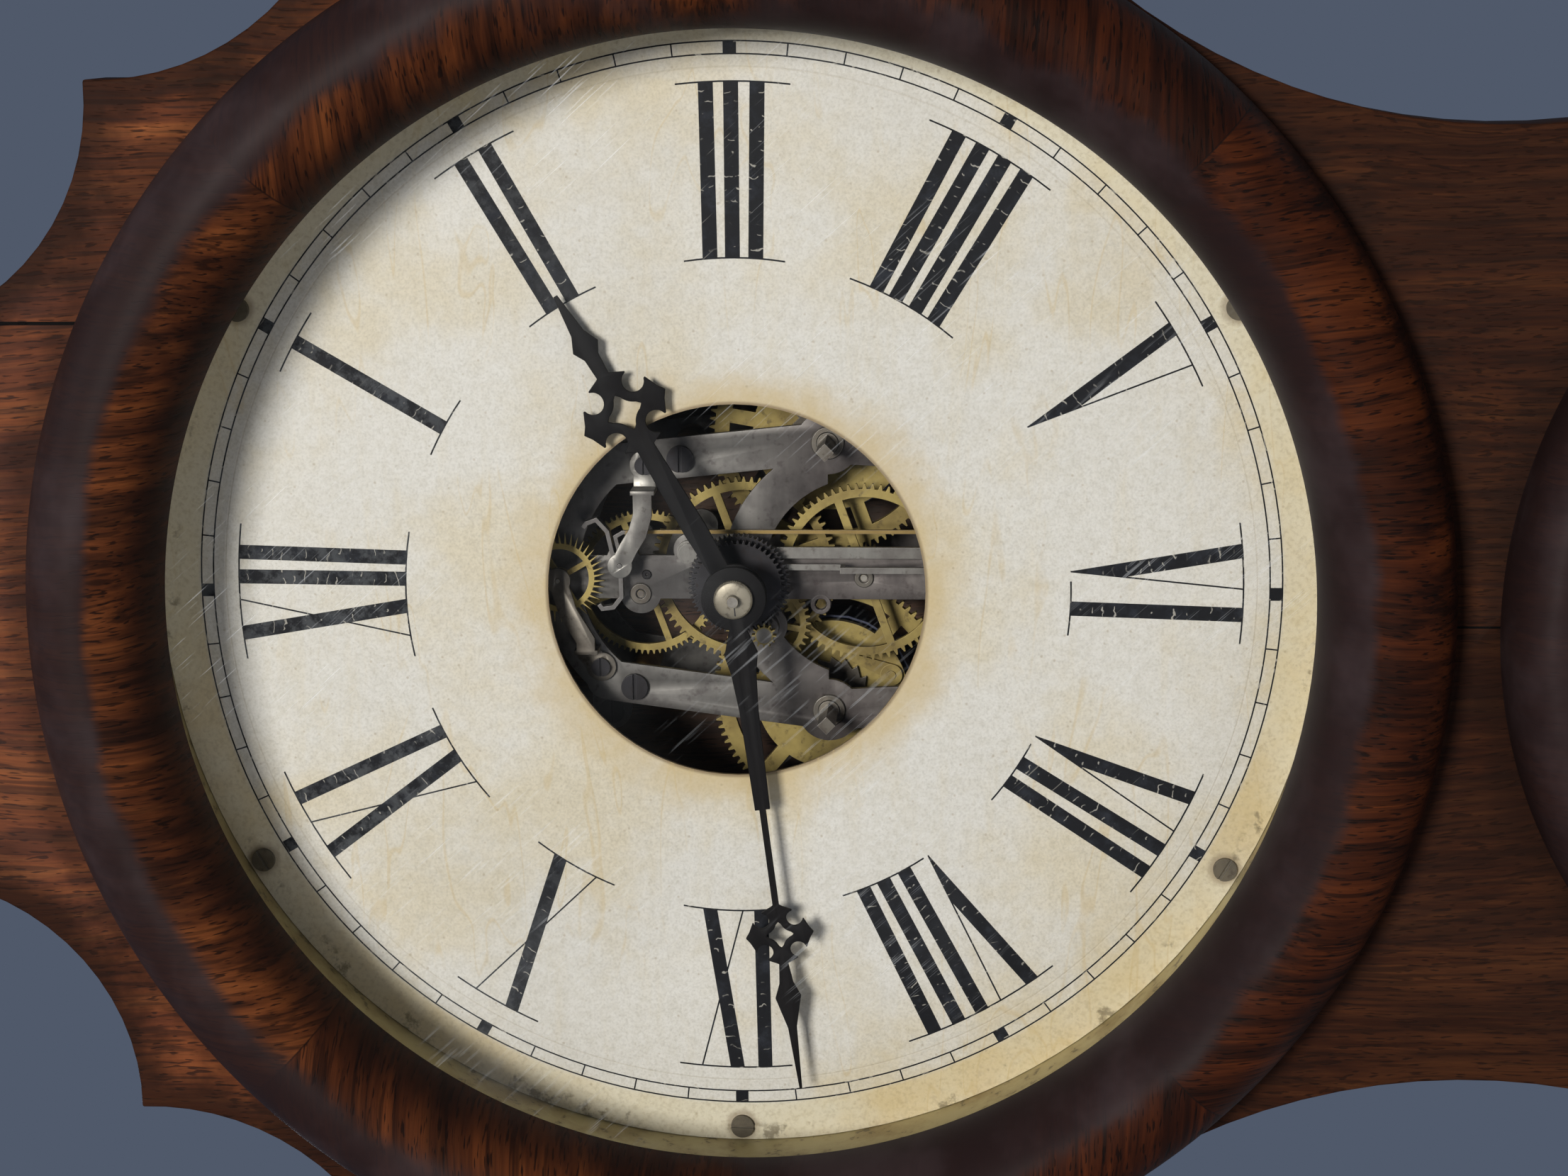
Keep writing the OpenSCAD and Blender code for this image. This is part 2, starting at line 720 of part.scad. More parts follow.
axis_gap = 2.1;
time_axis_x = time_bezel_r + axis_gap;
cal_axis_x = cal_bezel_r + axis_gap;
barrel_gap = 0.3;
axis_y = panel_y - barrel_r - barrel_gap;
knuckle_l = hinge_l / 3;
knuckle_gap = 0.15;
hinge_run = 0.06;

module fixed_leaves(axis_x) {
    for (z = [-hinge_z, hinge_z]) translate([axis_x, 0, z]) {
        difference() {
            union() {
                for (k = [-1, 1]) translate([0, axis_y, k * knuckle_l - knuckle_l / 2]) cylinder(r = barrel_r, h = knuckle_l);
                for (k = [-1, 1]) translate([0, panel_y - 1.2, k * knuckle_l - knuckle_l / 2])
                    cube([barrel_r, leaf_t + 1.2, knuckle_l]);
                translate([0.1, panel_y, -hinge_l / 2]) cube([leaf_w - 0.1, leaf_t, hinge_l]);
            }
            translate([0, axis_y, -knuckle_l / 2 - knuckle_gap]) cylinder(r = barrel_r + 0.5, h = knuckle_l + 2 * knuckle_gap);
        }
        translate([0, axis_y, -hinge_l / 2]) cylinder(r = hinge_pin_r, h = hinge_l);
    }
}

module moving_leaves(axis_x) {
    for (z = [-hinge_z, hinge_z]) translate([axis_x, 0, z]) difference() {
        union() {
            translate([0, axis_y, -knuckle_l / 2]) cylinder(r = barrel_r, h = knuckle_l);
            translate([-barrel_r - 15, bezel_y - leaf_t, -knuckle_l / 2]) cube([barrel_r + 15, leaf_t, knuckle_l]);
            translate([-barrel_r - 15, bezel_y - leaf_t, -hinge_l / 2 + 0.2]) cube([14.6, leaf_t, hinge_l - 0.4]);
        }
        translate([0, axis_y, -hinge_l]) cylinder(r = hinge_pin_r + hinge_run, h = 2 * hinge_l);
    }
}

// Catch: a round-nosed stud on the bezel slides between the leaves of a spring clip in the panel
stud_r = 1.5;
stud_seat = 2.4;
stud_l = 8;
clip_gap = 0.35;
time_clip_x = -(time_open_r + 8);
cal_clip_x = -(cal_open_r + 8);
module clip_pocket(x) {
    translate([x - clip_w / 2, panel_y - 1, -clip_w / 2]) cube([clip_w, clip_l + 1, clip_w]);
}

module catch_stud(x) {
    translate([x, 0, 0]) {
        rod(stud_r, bezel_y + stud_l - stud_r, bezel_y - stud_seat, 24);
        translate([0, bezel_y + stud_l - stud_r, 0]) sphere(r = stud_r, $fn = 24);
    }
}

module catch_clip(x) {
    leg = stud_r + clip_gap;
    translate([x, 0, 0]) {
        translate([-clip_w / 2, panel_y + clip_l - clip_t, -clip_w / 2]) cube([clip_w, clip_t, clip_w]);
        for (s = [-1, 1]) translate([-clip_w / 2, panel_y + 0.2, s * (leg + clip_t / 2) - clip_t / 2])
            cube([clip_w, clip_l - 0.2, clip_t]);
    }
}

module time_bezel() {
    color("saddlebrown") at_time() bezel_ring(time_lip_r, time_bezel_w, time_bezel_h, time_slope_w, time_axis_x, time_clip_x);
}
module time_glass() { color("lightblue", 0.3) at_time() glass(time_lip_r); }
module time_putty() { color("tan") at_time() putty(time_lip_r); }
module time_hinge_leaves() { color("goldenrod") at_time() moving_leaves(time_axis_x); }
module time_catch_stud() { color("goldenrod") at_time() catch_stud(time_clip_x); }
module calendar_bezel() {
    color("saddlebrown") at_calendar() bezel_ring(cal_lip_r, cal_bezel_w, cal_bezel_h, cal_slope_w, cal_axis_x, cal_clip_x);
}
module calendar_glass() { color("lightblue", 0.3) at_calendar() glass(cal_lip_r); }
module calendar_putty() { color("tan") at_calendar() putty(cal_lip_r); }
module calendar_hinge_leaves() { color("goldenrod") at_calendar() moving_leaves(cal_axis_x); }
module calendar_catch_stud() { color("goldenrod") at_calendar() catch_stud(cal_clip_x); }
module case_hinge_leaves() {
    color("goldenrod") {
        at_time() fixed_leaves(time_axis_x);
        at_calendar() fixed_leaves(cal_axis_x);
    }
}
module catch_clips() {
    color("goldenrod") {
        at_time() catch_clip(time_clip_x);
        at_calendar() catch_clip(cal_clip_x);
    }
}

// Movement frame

pillar_left = [-30.2, 29.3];
pillar_right = [32.2, 16];
pillar_low_x = 34;
pillar_low_z = -66;
function pillar_places() = [pillar_left, pillar_right, [-pillar_low_x, pillar_low_z], [pillar_low_x, pillar_low_z]];

module plate_outline() {
    top_z = 37;
    top_left = -28.5;
    top_right = 30.3;
    arch_at = [1, 11];
    arch_r = 38.3;
    pad_r = 5.5;
    for (top = [[-1, top_left], [1, top_right]]) {
        bar([top[1], top_z], great_at(top[0]), strap_w);
        bar(great_at(top[0]), [top[0] * pillar_low_x, pillar_low_z], strap_w);
        translate(great_at(top[0])) circle(r = 8.5);
        translate([top[0] * pillar_low_x, pillar_low_z]) circle(r = strap_w / 2 + 0.6);
    }
    bar([0, 54], [0, pillar_low_z], strap_w + 0.8);
    bar([-pillar_low_x, pillar_low_z], [pillar_low_x, pillar_low_z], strap_w);
    intersection() {
        translate(arch_at) difference() {
            circle(r = arch_r + strap_w / 2);
            circle(r = arch_r - strap_w / 2);
        }
        translate([top_left - 5, arch_at[1] + 15]) square([top_right - top_left + 10, arch_r]);
    }
    intersection() {
        translate(second_at) difference() {
            circle(r = arch_out_r);
            circle(r = arch_in_r);
        }
        translate([-great_x, -great_down]) square([2 * great_x, 60]);
    }
    circle(r = 9);
    translate(third_at) circle(r = pad_r, $fn = 48);
    translate(verge_at) circle(r = pad_r - 1, $fn = 48);
    translate(pendulum_at) circle(r = pad_r - 1, $fn = 48);
    translate(minute_at) circle(r = pad_r, $fn = 48);
}

module arbor_holes() {
    pivot_hole(second_at);
    pivot_hole(third_at);
    for (p = pillar_places()) shift(p) rod(wood_screw_r + pivot_fit, 1, dial_y, 24);
    for (side = [-1, 1]) shift(great_at(side)) rod(winding_r + pivot_fit, 1, dial_y);
}

winding_r = 2.8;
barrel_arbor_r = 5;
escape_arbor_r = 1.2;
bush_r = 3.4;
bush_l = 3.6;

module back_plate() {
    color("silver") difference() {
        union() {
            at_time() stand(back_plate_y, plate_t) {
                plate_outline();
                for (side = [-1, 1]) {
                    bar([side * 30, post_high], [side * post_x, post_high], strap_w);
                    bar([side * pillar_low_x, post_low], [side * post_x, post_low], strap_w);
                }
            }
        }
        at_time() arbor_holes();
        at_time() pivot_hole(escape_at);
        at_time() pivot_hole([0, 0]);
        at_movement_posts() rod(wood_screw_r + pivot_fit, 1, dial_y, 24);
    }
}

module front_plate() {
    color("silver") at_time() difference() {
        union() {
            stand(front_in_y, plate_t) plate_outline();
            shift(minute_at) rod(bush_r, front_plate_y, front_plate_y - bush_l);
        }
        arbor_holes();
        rod(cannon_r + pivot_fit, 1, dial_y);
        shift(escape_at) rod(escape_arbor_r + 0.8, 1, dial_y);
        shift(minute_at) rod(arbor_r + pivot_fit, 1, dial_y);
        pivot_hole(verge_at);
        shift(pendulum_at) rod(post_pin_r + 0.02, 1, dial_y);
        shift(cock_foot) rod(wood_screw_r + pivot_fit, 1, dial_y, 24);
        shift(bridge_foot) rod(wood_screw_r + pivot_fit, 1, dial_y, 24);
    }
}

module pillars() {
    color("goldenrod") at_time() for (p = pillar_places()) shift(p)
        tube(pillar_r, wood_screw_r + pivot_fit, back_in_y, front_in_y, 48);
}

// Plate screws pass through a plate into a pillar or a bracket foot
module plate_screws() {
    shank_r = wood_screw_r - 0.05;
    color("dimgray") at_time() {
        for (p = pillar_places()) shift(p) {
            slotted_head(screw_head_r, screw_head_h, front_plate_y);
            rod(shank_r, front_plate_y + 10, front_plate_y, 24);
            mirror([0, 1, 0]) slotted_head(screw_head_r, screw_head_h, -back_plate_y);
            rod(shank_r, back_plate_y, back_plate_y - 10, 24);
        }
        for (p = [cock_foot, bridge_foot]) shift(p) {
            slotted_head(screw_head_r * 0.7, screw_head_h * 0.8, front_plate_y - bridge_t);
            rod(shank_r, front_in_y + 0.4, front_plate_y - bridge_t, 24);
        }
    }
}

module mounting_posts() {
    post_r = 4;
    color("goldenrod") {
        at_movement_posts() tube(post_r, wood_screw_r + pivot_fit, board_y, back_plate_y, 32);
        at_calendar_posts() tube(post_r, wood_screw_r + pivot_fit, board_y, cal_plate_y, 32);
    }
}

// Wheel train

second_turn = 0;
second_pinion_turn = 0;
centre_turn = 0;
third_turn = 0;
great_y = front_in_y + great_layer + great_t;
centre_pinion_turn = in_mesh(second_at, [0, 0], second_n, second_turn, centre_pinion_n);
third_pinion_turn = in_mesh([0, 0], third_at, centre_n, centre_turn, third_pinion_n);
escape_pinion_turn = in_mesh(third_at, escape_at, third_n, third_turn, escape_pinion_n);
function great_turn(side) = in_mesh(second_at, great_at(side), second_pinion_n, second_pinion_turn, great_n);
click_r = 17.5;
click_turn = -70;
rivet_r = 1.2;
click_t = 1.3;
click_gap = 0.15;

module great_wheel(side) {
    shift(great_at(side)) {
        difference() {
            union() {
                stand(great_y, great_t) crossed_wheel(great_n, great_m, great_turn(side), 4, 21, 6, 4);
                rotate([0, -click_turn, 0]) translate([click_r, 0, 0]) {
                    rod(rivet_r, great_y - great_t, great_y - great_t - click_t - 0.6, 24);
                }
            }
            rod(winding_r + pivot_fit, 1, dial_y);
        }
    }
}

module click(side) {
    front = great_y - great_t - click_gap;
    shift(great_at(side)) rotate([0, -click_turn, 0]) translate([click_r, 0, 0]) difference() {
        stand(front, click_t) {
            circle(r = 3, $fn = 32);
            polygon([[-2.8, 0.8], [-9.6, 8.1], [-8.3, 9.5], [1.5, 2.6]]);
        }
        rod(rivet_r + pivot_fit, 1, dial_y, 24);
    }
}

module winding_arbor(side) {
    front = great_y - great_t;
    ratchet_t = 1.4;
    shift(great_at(side)) {
        rod(winding_r, back_plate_y + end_shake, front_plate_y - 1.5);
        rod(barrel_arbor_r, back_in_y - end_shake, great_y + end_shake);
        rod(4, front - ratchet_t - click_gap, front_in_y + end_shake);
        stand(front - click_gap, ratchet_t) polygon([
            for (i = [0:ratchet_n - 1]) each [
                [ratchet_r * cos(i * 360 / ratchet_n), ratchet_r * sin(i * 360 / ratchet_n)],
                [(ratchet_r - 1.6) * cos((i + 0.15) * 360 / ratchet_n), (ratchet_r - 1.6) * sin((i + 0.15) * 360 / ratchet_n)]
            ]
        ]);
        stand(front_plate_y - 1.5, square_l - 1.5) rotate(45) square([square_w, square_w], center = true);
    }
}

module mainspring(side) {
    steps = 24;
    inner = barrel_arbor_r + 1.4;
    pitch = (spring_r - inner) / spring_turns;
    last = spring_turns * steps;
    width = plate_gap - spring_layer - 1;
    from = bearing(great_at(side), [side * pillar_low_x, pillar_low_z]);
    function coil(i, t) = let (a = from + side * (i - last) * 360 / steps, r = inner + pitch * i / steps + t) [r * cos(a), r * sin(a)];
    end = [side * pillar_low_x, pillar_low_z] - great_at(side);
    difference() {
        shift(great_at(side)) stand(back_in_y - 0.5, width) {
            polygon(concat(
                [for (i = [0:last]) coil(i, spring_t / 2)],
                [for (i = [last:-1:0]) coil(i, -spring_t / 2)]
            ));
            bar(coil(last, 0), end, 1.2);
            translate(end) circle(r = pillar_r + 1.2, $fn = 48);
        }
        shift([side * pillar_low_x, pillar_low_z]) rod(pillar_r + 0.1, 1, dial_y, 48);
    }
}

module left_great_wheel() { color("goldenrod") at_time() great_wheel(-1); }
module right_great_wheel() { color("goldenrod") at_time() great_wheel(1); }
module left_click() { color("gold") at_time() click(-1); }
module right_click() { color("gold") at_time() click(1); }
module left_winding_arbor() { color("gray") at_time() winding_arbor(-1); }
module right_winding_arbor() { color("gray") at_time() winding_arbor(1); }
module left_mainspring() { color("steelblue") at_time() mainspring(-1); }
module right_mainspring() { color("steelblue") at_time() mainspring(1); }

module second_wheel() {
    color("gold") at_time() shift(second_at) {
        stand(front_in_y + second_layer + wheel_t, wheel_t)
            crossed_wheel(second_n, second_m, second_turn, 2.2, 4, 4, 2.2);
        stand(great_y + pinion_over, great_t + 2 * pinion_over) pinion_teeth(second_pinion_n, great_m, second_pinion_turn);
        train_arbor(arbor_r);
    }
}

// The centre arbor carries the centre wheel and runs through the front plate to the minute hand
module centre_wheel() {
    cannon_front = dial_y - minute_hand_up;
    color("gold") at_time() {
        stand(front_in_y + centre_layer + wheel_t, wheel_t)
            crossed_wheel(centre_n, centre_m, centre_turn, 2.2, 4, 4, 2.2);
        stand(front_in_y + second_layer + wheel_t + pinion_over, wheel_t + 2 * pinion_over)
            pinion_teeth(centre_pinion_n, second_m, centre_pinion_turn);
        stand(front_in_y + minute_layer + wheel_t + 0.3, wheel_t + 0.6)
            pinion_teeth(cannon_n, cannon_m, in_mesh(minute_at, [0, 0], minute_n, 0, cannon_n));
        rod(arbor_r, back_in_y - end_shake, front_in_y + end_shake);
        rod(pivot_r, back_plate_y + end_shake, back_in_y - 1);
        rod(cannon_r, front_in_y + 0.8, cannon_front);
        rod(1.5, cannon_front, cannon_front - hand_t - 4.4, 32);
    }
}

module third_wheel() {
    color("gold") at_time() shift(third_at) {
        stand(front_in_y + third_layer + wheel_t, wheel_t)
            crossed_wheel(third_n, third_m, third_turn, 1.8, 3.2, 4, 1.8);
        stand(front_in_y + centre_layer + wheel_t + pinion_over, wheel_t + 2 * pinion_over)
            pinion_teeth(third_pinion_n, centre_m, third_pinion_turn);
        rod(1.3, back_in_y - end_shake, front_in_y + end_shake, 32);
        rod(pivot_r, back_plate_y + end_shake, front_plate_y - end_shake, 32);
    }
}

module escape_wheel() {
    rim_r = escape_r - 4.4;
    color("gold") at_time() shift(escape_at) {
        stand(front_plate_y - escape_layer, 1) {
            difference() {
                polygon([
                    for (i = [0:escape_n - 1]) let (p = 360 / escape_n, c = i * p) each [
                        [(escape_r - 2.9) * cos(c), (escape_r - 2.9) * sin(c)],
                        [(escape_r - 2.9) * cos(c + 0.5 * p), (escape_r - 2.9) * sin(c + 0.5 * p)],
                        [(escape_r - 2.9) * cos(c + 0.6 * p), (escape_r - 2.9) * sin(c + 0.6 * p)],
                        [escape_r * cos(c + 1.1 * p), escape_r * sin(c + 1.1 * p)]
                    ]
                ]);
                circle(r = rim_r, $fn = 72);
            }
            circle(r = 2.6, $fn = 32);
            for (i = [0:3]) rotate(i * 90 + 30) translate([0, -0.7]) square([rim_r + 0.5, 1.4]);
        }
        stand(front_in_y + third_layer + wheel_t + pinion_over, wheel_t + 2 * pinion_over)
            pinion_teeth(escape_pinion_n, third_m, escape_pinion_turn);
        rod(1, back_in_y - end_shake, front_plate_y - bridge_layer + end_shake, 32);
        rod(pivot_r, back_plate_y + end_shake, back_in_y - 1, 32);
        rod(0.6, front_plate_y - bridge_layer + 1, front_plate_y - bridge_layer - bridge_t - 0.2, 24);
    }
}

// Motion work

module minute_wheel() {
    thin_r = 1;
    color("goldenrod") at_time() shift(minute_at) {
        stand(front_in_y + minute_layer + wheel_t, wheel_t)
            crossed_wheel(minute_n, cannon_m, 0, 1.6, 3, 3, 1.6);
        rod(arbor_r, front_in_y + minute_layer + wheel_t + 0.6, front_plate_y - bush_l - 0.1, 32);
        rod(thin_r, front_plate_y - bush_l, front_plate_y - hour_layer - wheel_t - 0.6, 32);
        stand(front_plate_y - day_layer + 0.3, wheel_t + 0.3) pinion_teeth(day_pinion_n, day_m, day_pinion_turn);
        stand(front_plate_y - hour_layer + 0.3, wheel_t + 0.9) pinion_teeth(minute_pinion_n, hour_m, minute_pinion_turn);
    }
}
minute_pinion_turn = in_mesh([0, 0], minute_at, hour_n, 0, minute_pinion_n);
day_pinion_turn = in_mesh([0, 0], minute_at, day_n, 0, day_pinion_n);

module hour_wheel() {
    pipe_front = dial_y - hour_hand_up - hand_t;
    color("dimgray") at_time() difference() {
        union() {
            stand(front_plate_y - hour_layer, wheel_t) wheel_teeth(hour_n, hour_m, 0);
            rod(hour_pipe_r, front_plate_y - hour_layer, pipe_front);
        }
        rod(cannon_r + cannon_fit, 1, dial_y - 20);
    }
}

lift_pin_at = 10;
lift_pin_r = 0.8;
lift_pin_l = 1.6;
module day_wheel() {
    color("dimgray") at_time() difference() {
        union() {
            stand(front_plate_y - day_layer, wheel_t - 0.2) wheel_teeth(day_n, day_m, 0);
            rod(hour_pipe_r, front_plate_y - day_layer + 1, front_plate_y - hour_layer + 0.3);
            translate([-lift_pin_at, 0, 0]) rod(lift_pin_r, front_plate_y - day_layer + lift_pin_l, front_plate_y - day_layer, 24);
        }
        rod(cannon_r + cannon_fit, 1, dial_y - 20);
    }
}

// Hands: flat blued steel with a pierced four-lobed head, drawn along +X

// Head: four pointed lobes, a round bite between each two, and a four-pointed opening
module hand_head(reach, spur, bite_at, bite_r, ring_t, open_r) {
    root = bite_at * 0.47;
    waist = [(spur[0] + reach) / 2 + 0.1, spur[1] * 0.36];
    difference() {
        for (i = [0:3]) rotate(i * 90) polygon([
            [0, 0], [root, -root], [spur[0], -spur[1]], [waist[0], -waist[1]], [reach, 0],
            waist, spur, [root, root]
        ]);
        for (i = [0:3]) rotate(45 + i * 90) translate([bite_at, 0]) circle(r = bite_r, $fn = 40);
        difference() {
            polygon([[open_r, 0], [0, open_r], [-open_r, 0], [0, -open_r]]);
            for (i = [0:3]) rotate(45 + i * 90) translate([bite_at, 0]) circle(r = bite_r + ring_t, $fn = 40);
        }
    }
}

module minute_hand_outline() {
    head = 93;
    reach = 9.2;
    shoulder = 57;
    bulge = 111;
    circle(r = collar_r);
    polygon([
        [collar_r - 1, -2], [14.8, -4.4], [20, -3.3], [30, -2.5], [shoulder, -2],
        [shoulder, 2], [30, 2.5], [20, 3.3], [14.8, 4.4], [collar_r - 1, 2]
    ]);
    polygon([[shoulder - 1, -0.85], [head - reach + 1.2, -0.85], [head - reach + 1.2, 0.85], [shoulder - 1, 0.85]]);
    translate([head, 0]) hand_head(reach, [6.9, 4.1], 6.4, 2.2, 1.9, 3.8);
    polygon([
        [head + reach - 1.2, -1.2], [bulge - 4, -1.9], [bulge, -3.5], [bulge + 9, -1.2], [minute_hand_l, -0.35],
        [minute_hand_l, 0.35], [bulge + 9, 1.2], [bulge, 3.5], [bulge - 4, 1.9], [head + reach - 1.2, 1.2]
    ]);
}

module hour_hand_outline() {
    head = 55.5;
    reach = 12.2;
    bulge = 75;
    circle(r = collar_r);
    polygon([
        [collar_r - 1, -2.6], [20, -3.1], [head - reach + 1.8, -2.4],
        [head - reach + 1.8, 2.4], [20, 3.1], [collar_r - 1, 2.6]
    ]);
    translate([head, 0]) hand_head(reach, [9.2, 5.4], 8.5, 2.9, 2.5, 5);
    polygon([
        [head + reach - 1.6, -1.7], [bulge - 3, -2], [bulge, -3.7], [bulge + 4, -1.8], [hour_hand_l, -0.5],
        [hour_hand_l, 0.5], [bulge + 4, 1.8], [bulge, 3.7], [bulge - 3, 2], [head + reach - 1.6, 1.7]
    ]);
}

// Hands as the photographed clock shows them, in degrees clockwise from twelve
minute_angle = 263;
hour_angle = 60;
module hour_hand() {
    back = dial_y - hour_hand_up;
    color("black") at_time() difference() {
        stand(back, hand_t) rotate(90 - hour_angle) hour_hand_outline();
        rod(hour_pipe_r + 0.02, 1, dial_y - 20);
    }
}

module minute_hand() {
    back = dial_y - minute_hand_up;
    color("black") at_time() difference() {
        union() {
            stand(back, hand_t) rotate(90 - minute_angle) minute_hand_outline();
            rod(collar_r - 1.2, back + 1.6, back - hand_t);
        }
        rod(1.52, 1, dial_y - 20, 32);
        rod(cannon_r + 0.02, 1, back, 32);
    }
}

module hand_nut() {
    back = dial_y - minute_hand_up - hand_t;
    color("silver") at_time() difference() {
        union() {
            rod(hand_nut_r, back, back - 1.6, 48);
            rod(hand_nut_r - 1, back - 1.6, back - 2.6, 48);
        }
        rod(1.52, 1, dial_y - 20, 32);
    }
}

// Escapement and pendulum

cock_foot = [30.6, 25.5];
bridge_foot = [-24.5, 38.2];
module bracket(foot, step_x, arm, arm_w, end_r) {
    side = sign(foot[0]);
    riser_h = 6.4;
    in_riser = [step_x + side * bridge_t / 2, arm[0][1]];
    stand(front_plate_y, bridge_t) {
        translate(foot) circle(r = 4, $fn = 32);
        ribbon([foot, in_riser + [side * 2, 0], in_riser], riser_h - 0.4);
    }
    translate([min(step_x, step_x + side * bridge_t), front_plate_y - bridge_layer - bridge_t, arm[0][1] - riser_h / 2])
        cube([bridge_t, bridge_layer + bridge_t, riser_h]);
    stand(front_plate_y - bridge_layer, bridge_t) {
        ribbon(concat([in_riser], arm), arm_w);
        translate(arm[len(arm) - 1]) circle(r = end_r, $fn = 32);
    }
}

module verge_cock() {
    color("lightgray") at_time() difference() {
        bracket(cock_foot, 23.6, [[18.4, 25.5], [13.4, 26.9], [9.4, 29.4], verge_at], 5, 3.3);
        shift(verge_at) rod(0.6 + pivot_fit, 1, dial_y, 24);
        shift(cock_foot) rod(wood_screw_r + pivot_fit, 1, dial_y, 24);
    }
}

module escape_bridge() {
    color("gray") at_time() difference() {
        bracket(bridge_foot, -18.5, [[-15.8, 41.4], [-8, 46], escape_at], 5, 3.4);
        shift(escape_at) rod(0.6 + pivot_fit, 1, dial_y, 24);
        shift(bridge_foot) rod(wood_screw_r + pivot_fit, 1, dial_y, 24);
    }
}

verge_strip = [[-6.6, 37.95], [-7.8, 37.1], [-7.4, 34.1], [-4.6, 31.9], [0.5, 32], verge_at,
    [7.6, 34.2], [13.2, 35.4], [16.4, 38.3], [15.4, 41], [14.2, 41.8]];
module verge() {
    strip_t = 1.1;
    wire_t = 1;
    wire_x = 13;
    fork_t = 1.2;
    fork_gap = 0.35;
    slot = rod_w / 2 + fork_gap;
    rod_back = front_plate_y - rod_layer;
    color("gray") at_time() {
        stand(front_plate_y - verge_layer, 3) ribbon(verge_strip, strip_t);
        shift(verge_at) {
            rod(1.3, front_plate_y - end_shake, front_plate_y - bridge_layer + end_shake, 32);
            rod(pivot_r, front_in_y - 0.2, front_plate_y - end_shake - 1, 32);
            rod(0.6, front_plate_y - bridge_layer + 1, front_plate_y - bridge_layer - bridge_t - 0.2, 24);
        }
        stand(rod_back, wire_t)
            ribbon([verge_at, [11.6, 33.4], [12.8, 31.4], [wire_x, 20], [wire_x + 0.2, -fork_down]], wire_t);
        translate([0, 0, -fork_down - fork_t / 2]) difference() {
            translate([pendulum_x - slot - 0.7, rod_back - 2.6, 0]) cube([wire_x + 0.8 - pendulum_x + slot + 0.7, 4.4, fork_t]);
            translate([pendulum_x - slot, rod_back - 3, -1]) cube([2 * slot, 3.5, fork_t + 2]);
        }
    }
}

post_pin_r = 1.5;
module suspension_post() {
    color("silver") at_time() shift(pendulum_at) {
        rod(post_pin_r, front_in_y - 0.2, front_plate_y - rod_layer - rod_t - 0.6);
        rod(2.6, front_plate_y - rod_layer - rod_t - 0.4, front_plate_y - rod_layer - rod_t - 1.3);
        tube(2.4, post_pin_r, front_plate_y, front_plate_y - rod_layer + 0.3);
    }
}

rod_y = front_plate_y - rod_layer;
bob_z = pendulum_up - pendulum_l;
nut_z = bob_z - bob_r - 0.2;
rating_nut_r = 4.2;
rating_nut_h = 4;
thread_r = 1.2;
module pendulum_rod() {
    eye_r = 3.2;
    color("gray") at_time() {
        difference() {
            stand(rod_y, rod_t) {
                translate(pendulum_at) circle(r = eye_r, $fn = 48);
                translate([pendulum_x - rod_w / 2, bob_z]) square([rod_w, pendulum_up - bob_z]);
            }
            shift(pendulum_at) rod(post_pin_r + pivot_fit, 1, dial_y);
        }
        translate([pendulum_x, rod_y - rod_t / 2, nut_z - 12]) cylinder(r = thread_r, h = bob_z - nut_z + 12, $fn = 24);
    }
}

module pendulum_bob() {
    slot_gap = 0.15;
    color("goldenrod") at_time() difference() {
        translate([pendulum_x, rod_y - rod_t / 2 + bob_t / 2, bob_z]) rotate([90, 0, 0]) rotate_extrude($fn = 120) polygon([
            [0, 0], [bob_r - 5, 0], [bob_r - 1, bob_t * 0.3], [bob_r, bob_t / 2],
            [bob_r - 1, bob_t * 0.7], [bob_r - 5, bob_t], [0, bob_t]
        ]);
        translate([pendulum_x - rod_w / 2 - slot_gap, rod_y - rod_t - slot_gap, bob_z - 5])
            cube([rod_w + 2 * slot_gap, rod_t + 2 * slot_gap, bob_r + 6]);
        translate([pendulum_x - thread_r - slot_gap, rod_y - rod_t / 2 - thread_r - slot_gap, bob_z - bob_r - 1])
            cube([2 * (thread_r + slot_gap), 2 * (thread_r + slot_gap), bob_r + 6]);
    }
}

module rating_nut() {
    color("goldenrod") at_time() translate([pendulum_x, rod_y - rod_t / 2, nut_z - rating_nut_h]) difference() {
        cylinder(r = rating_nut_r, h = rating_nut_h, $fn = 48);
        translate([0, 0, -1]) cylinder(r = thread_r + pivot_fit, h = rating_nut_h + 2, $fn = 24);
    }
}

// Calendar works

roller_y = dial_back_y + 0.8 + roller_r;
axle_r = 1.5;
cheek_t = 1.6;
date_arbor_r = 1.5;
date_wheel_y = rod_y - 5.2;
cal_rod_x = 3.8;
cal_rod_low_x = date_wheel_r + 1.2;
jog_down = 28;

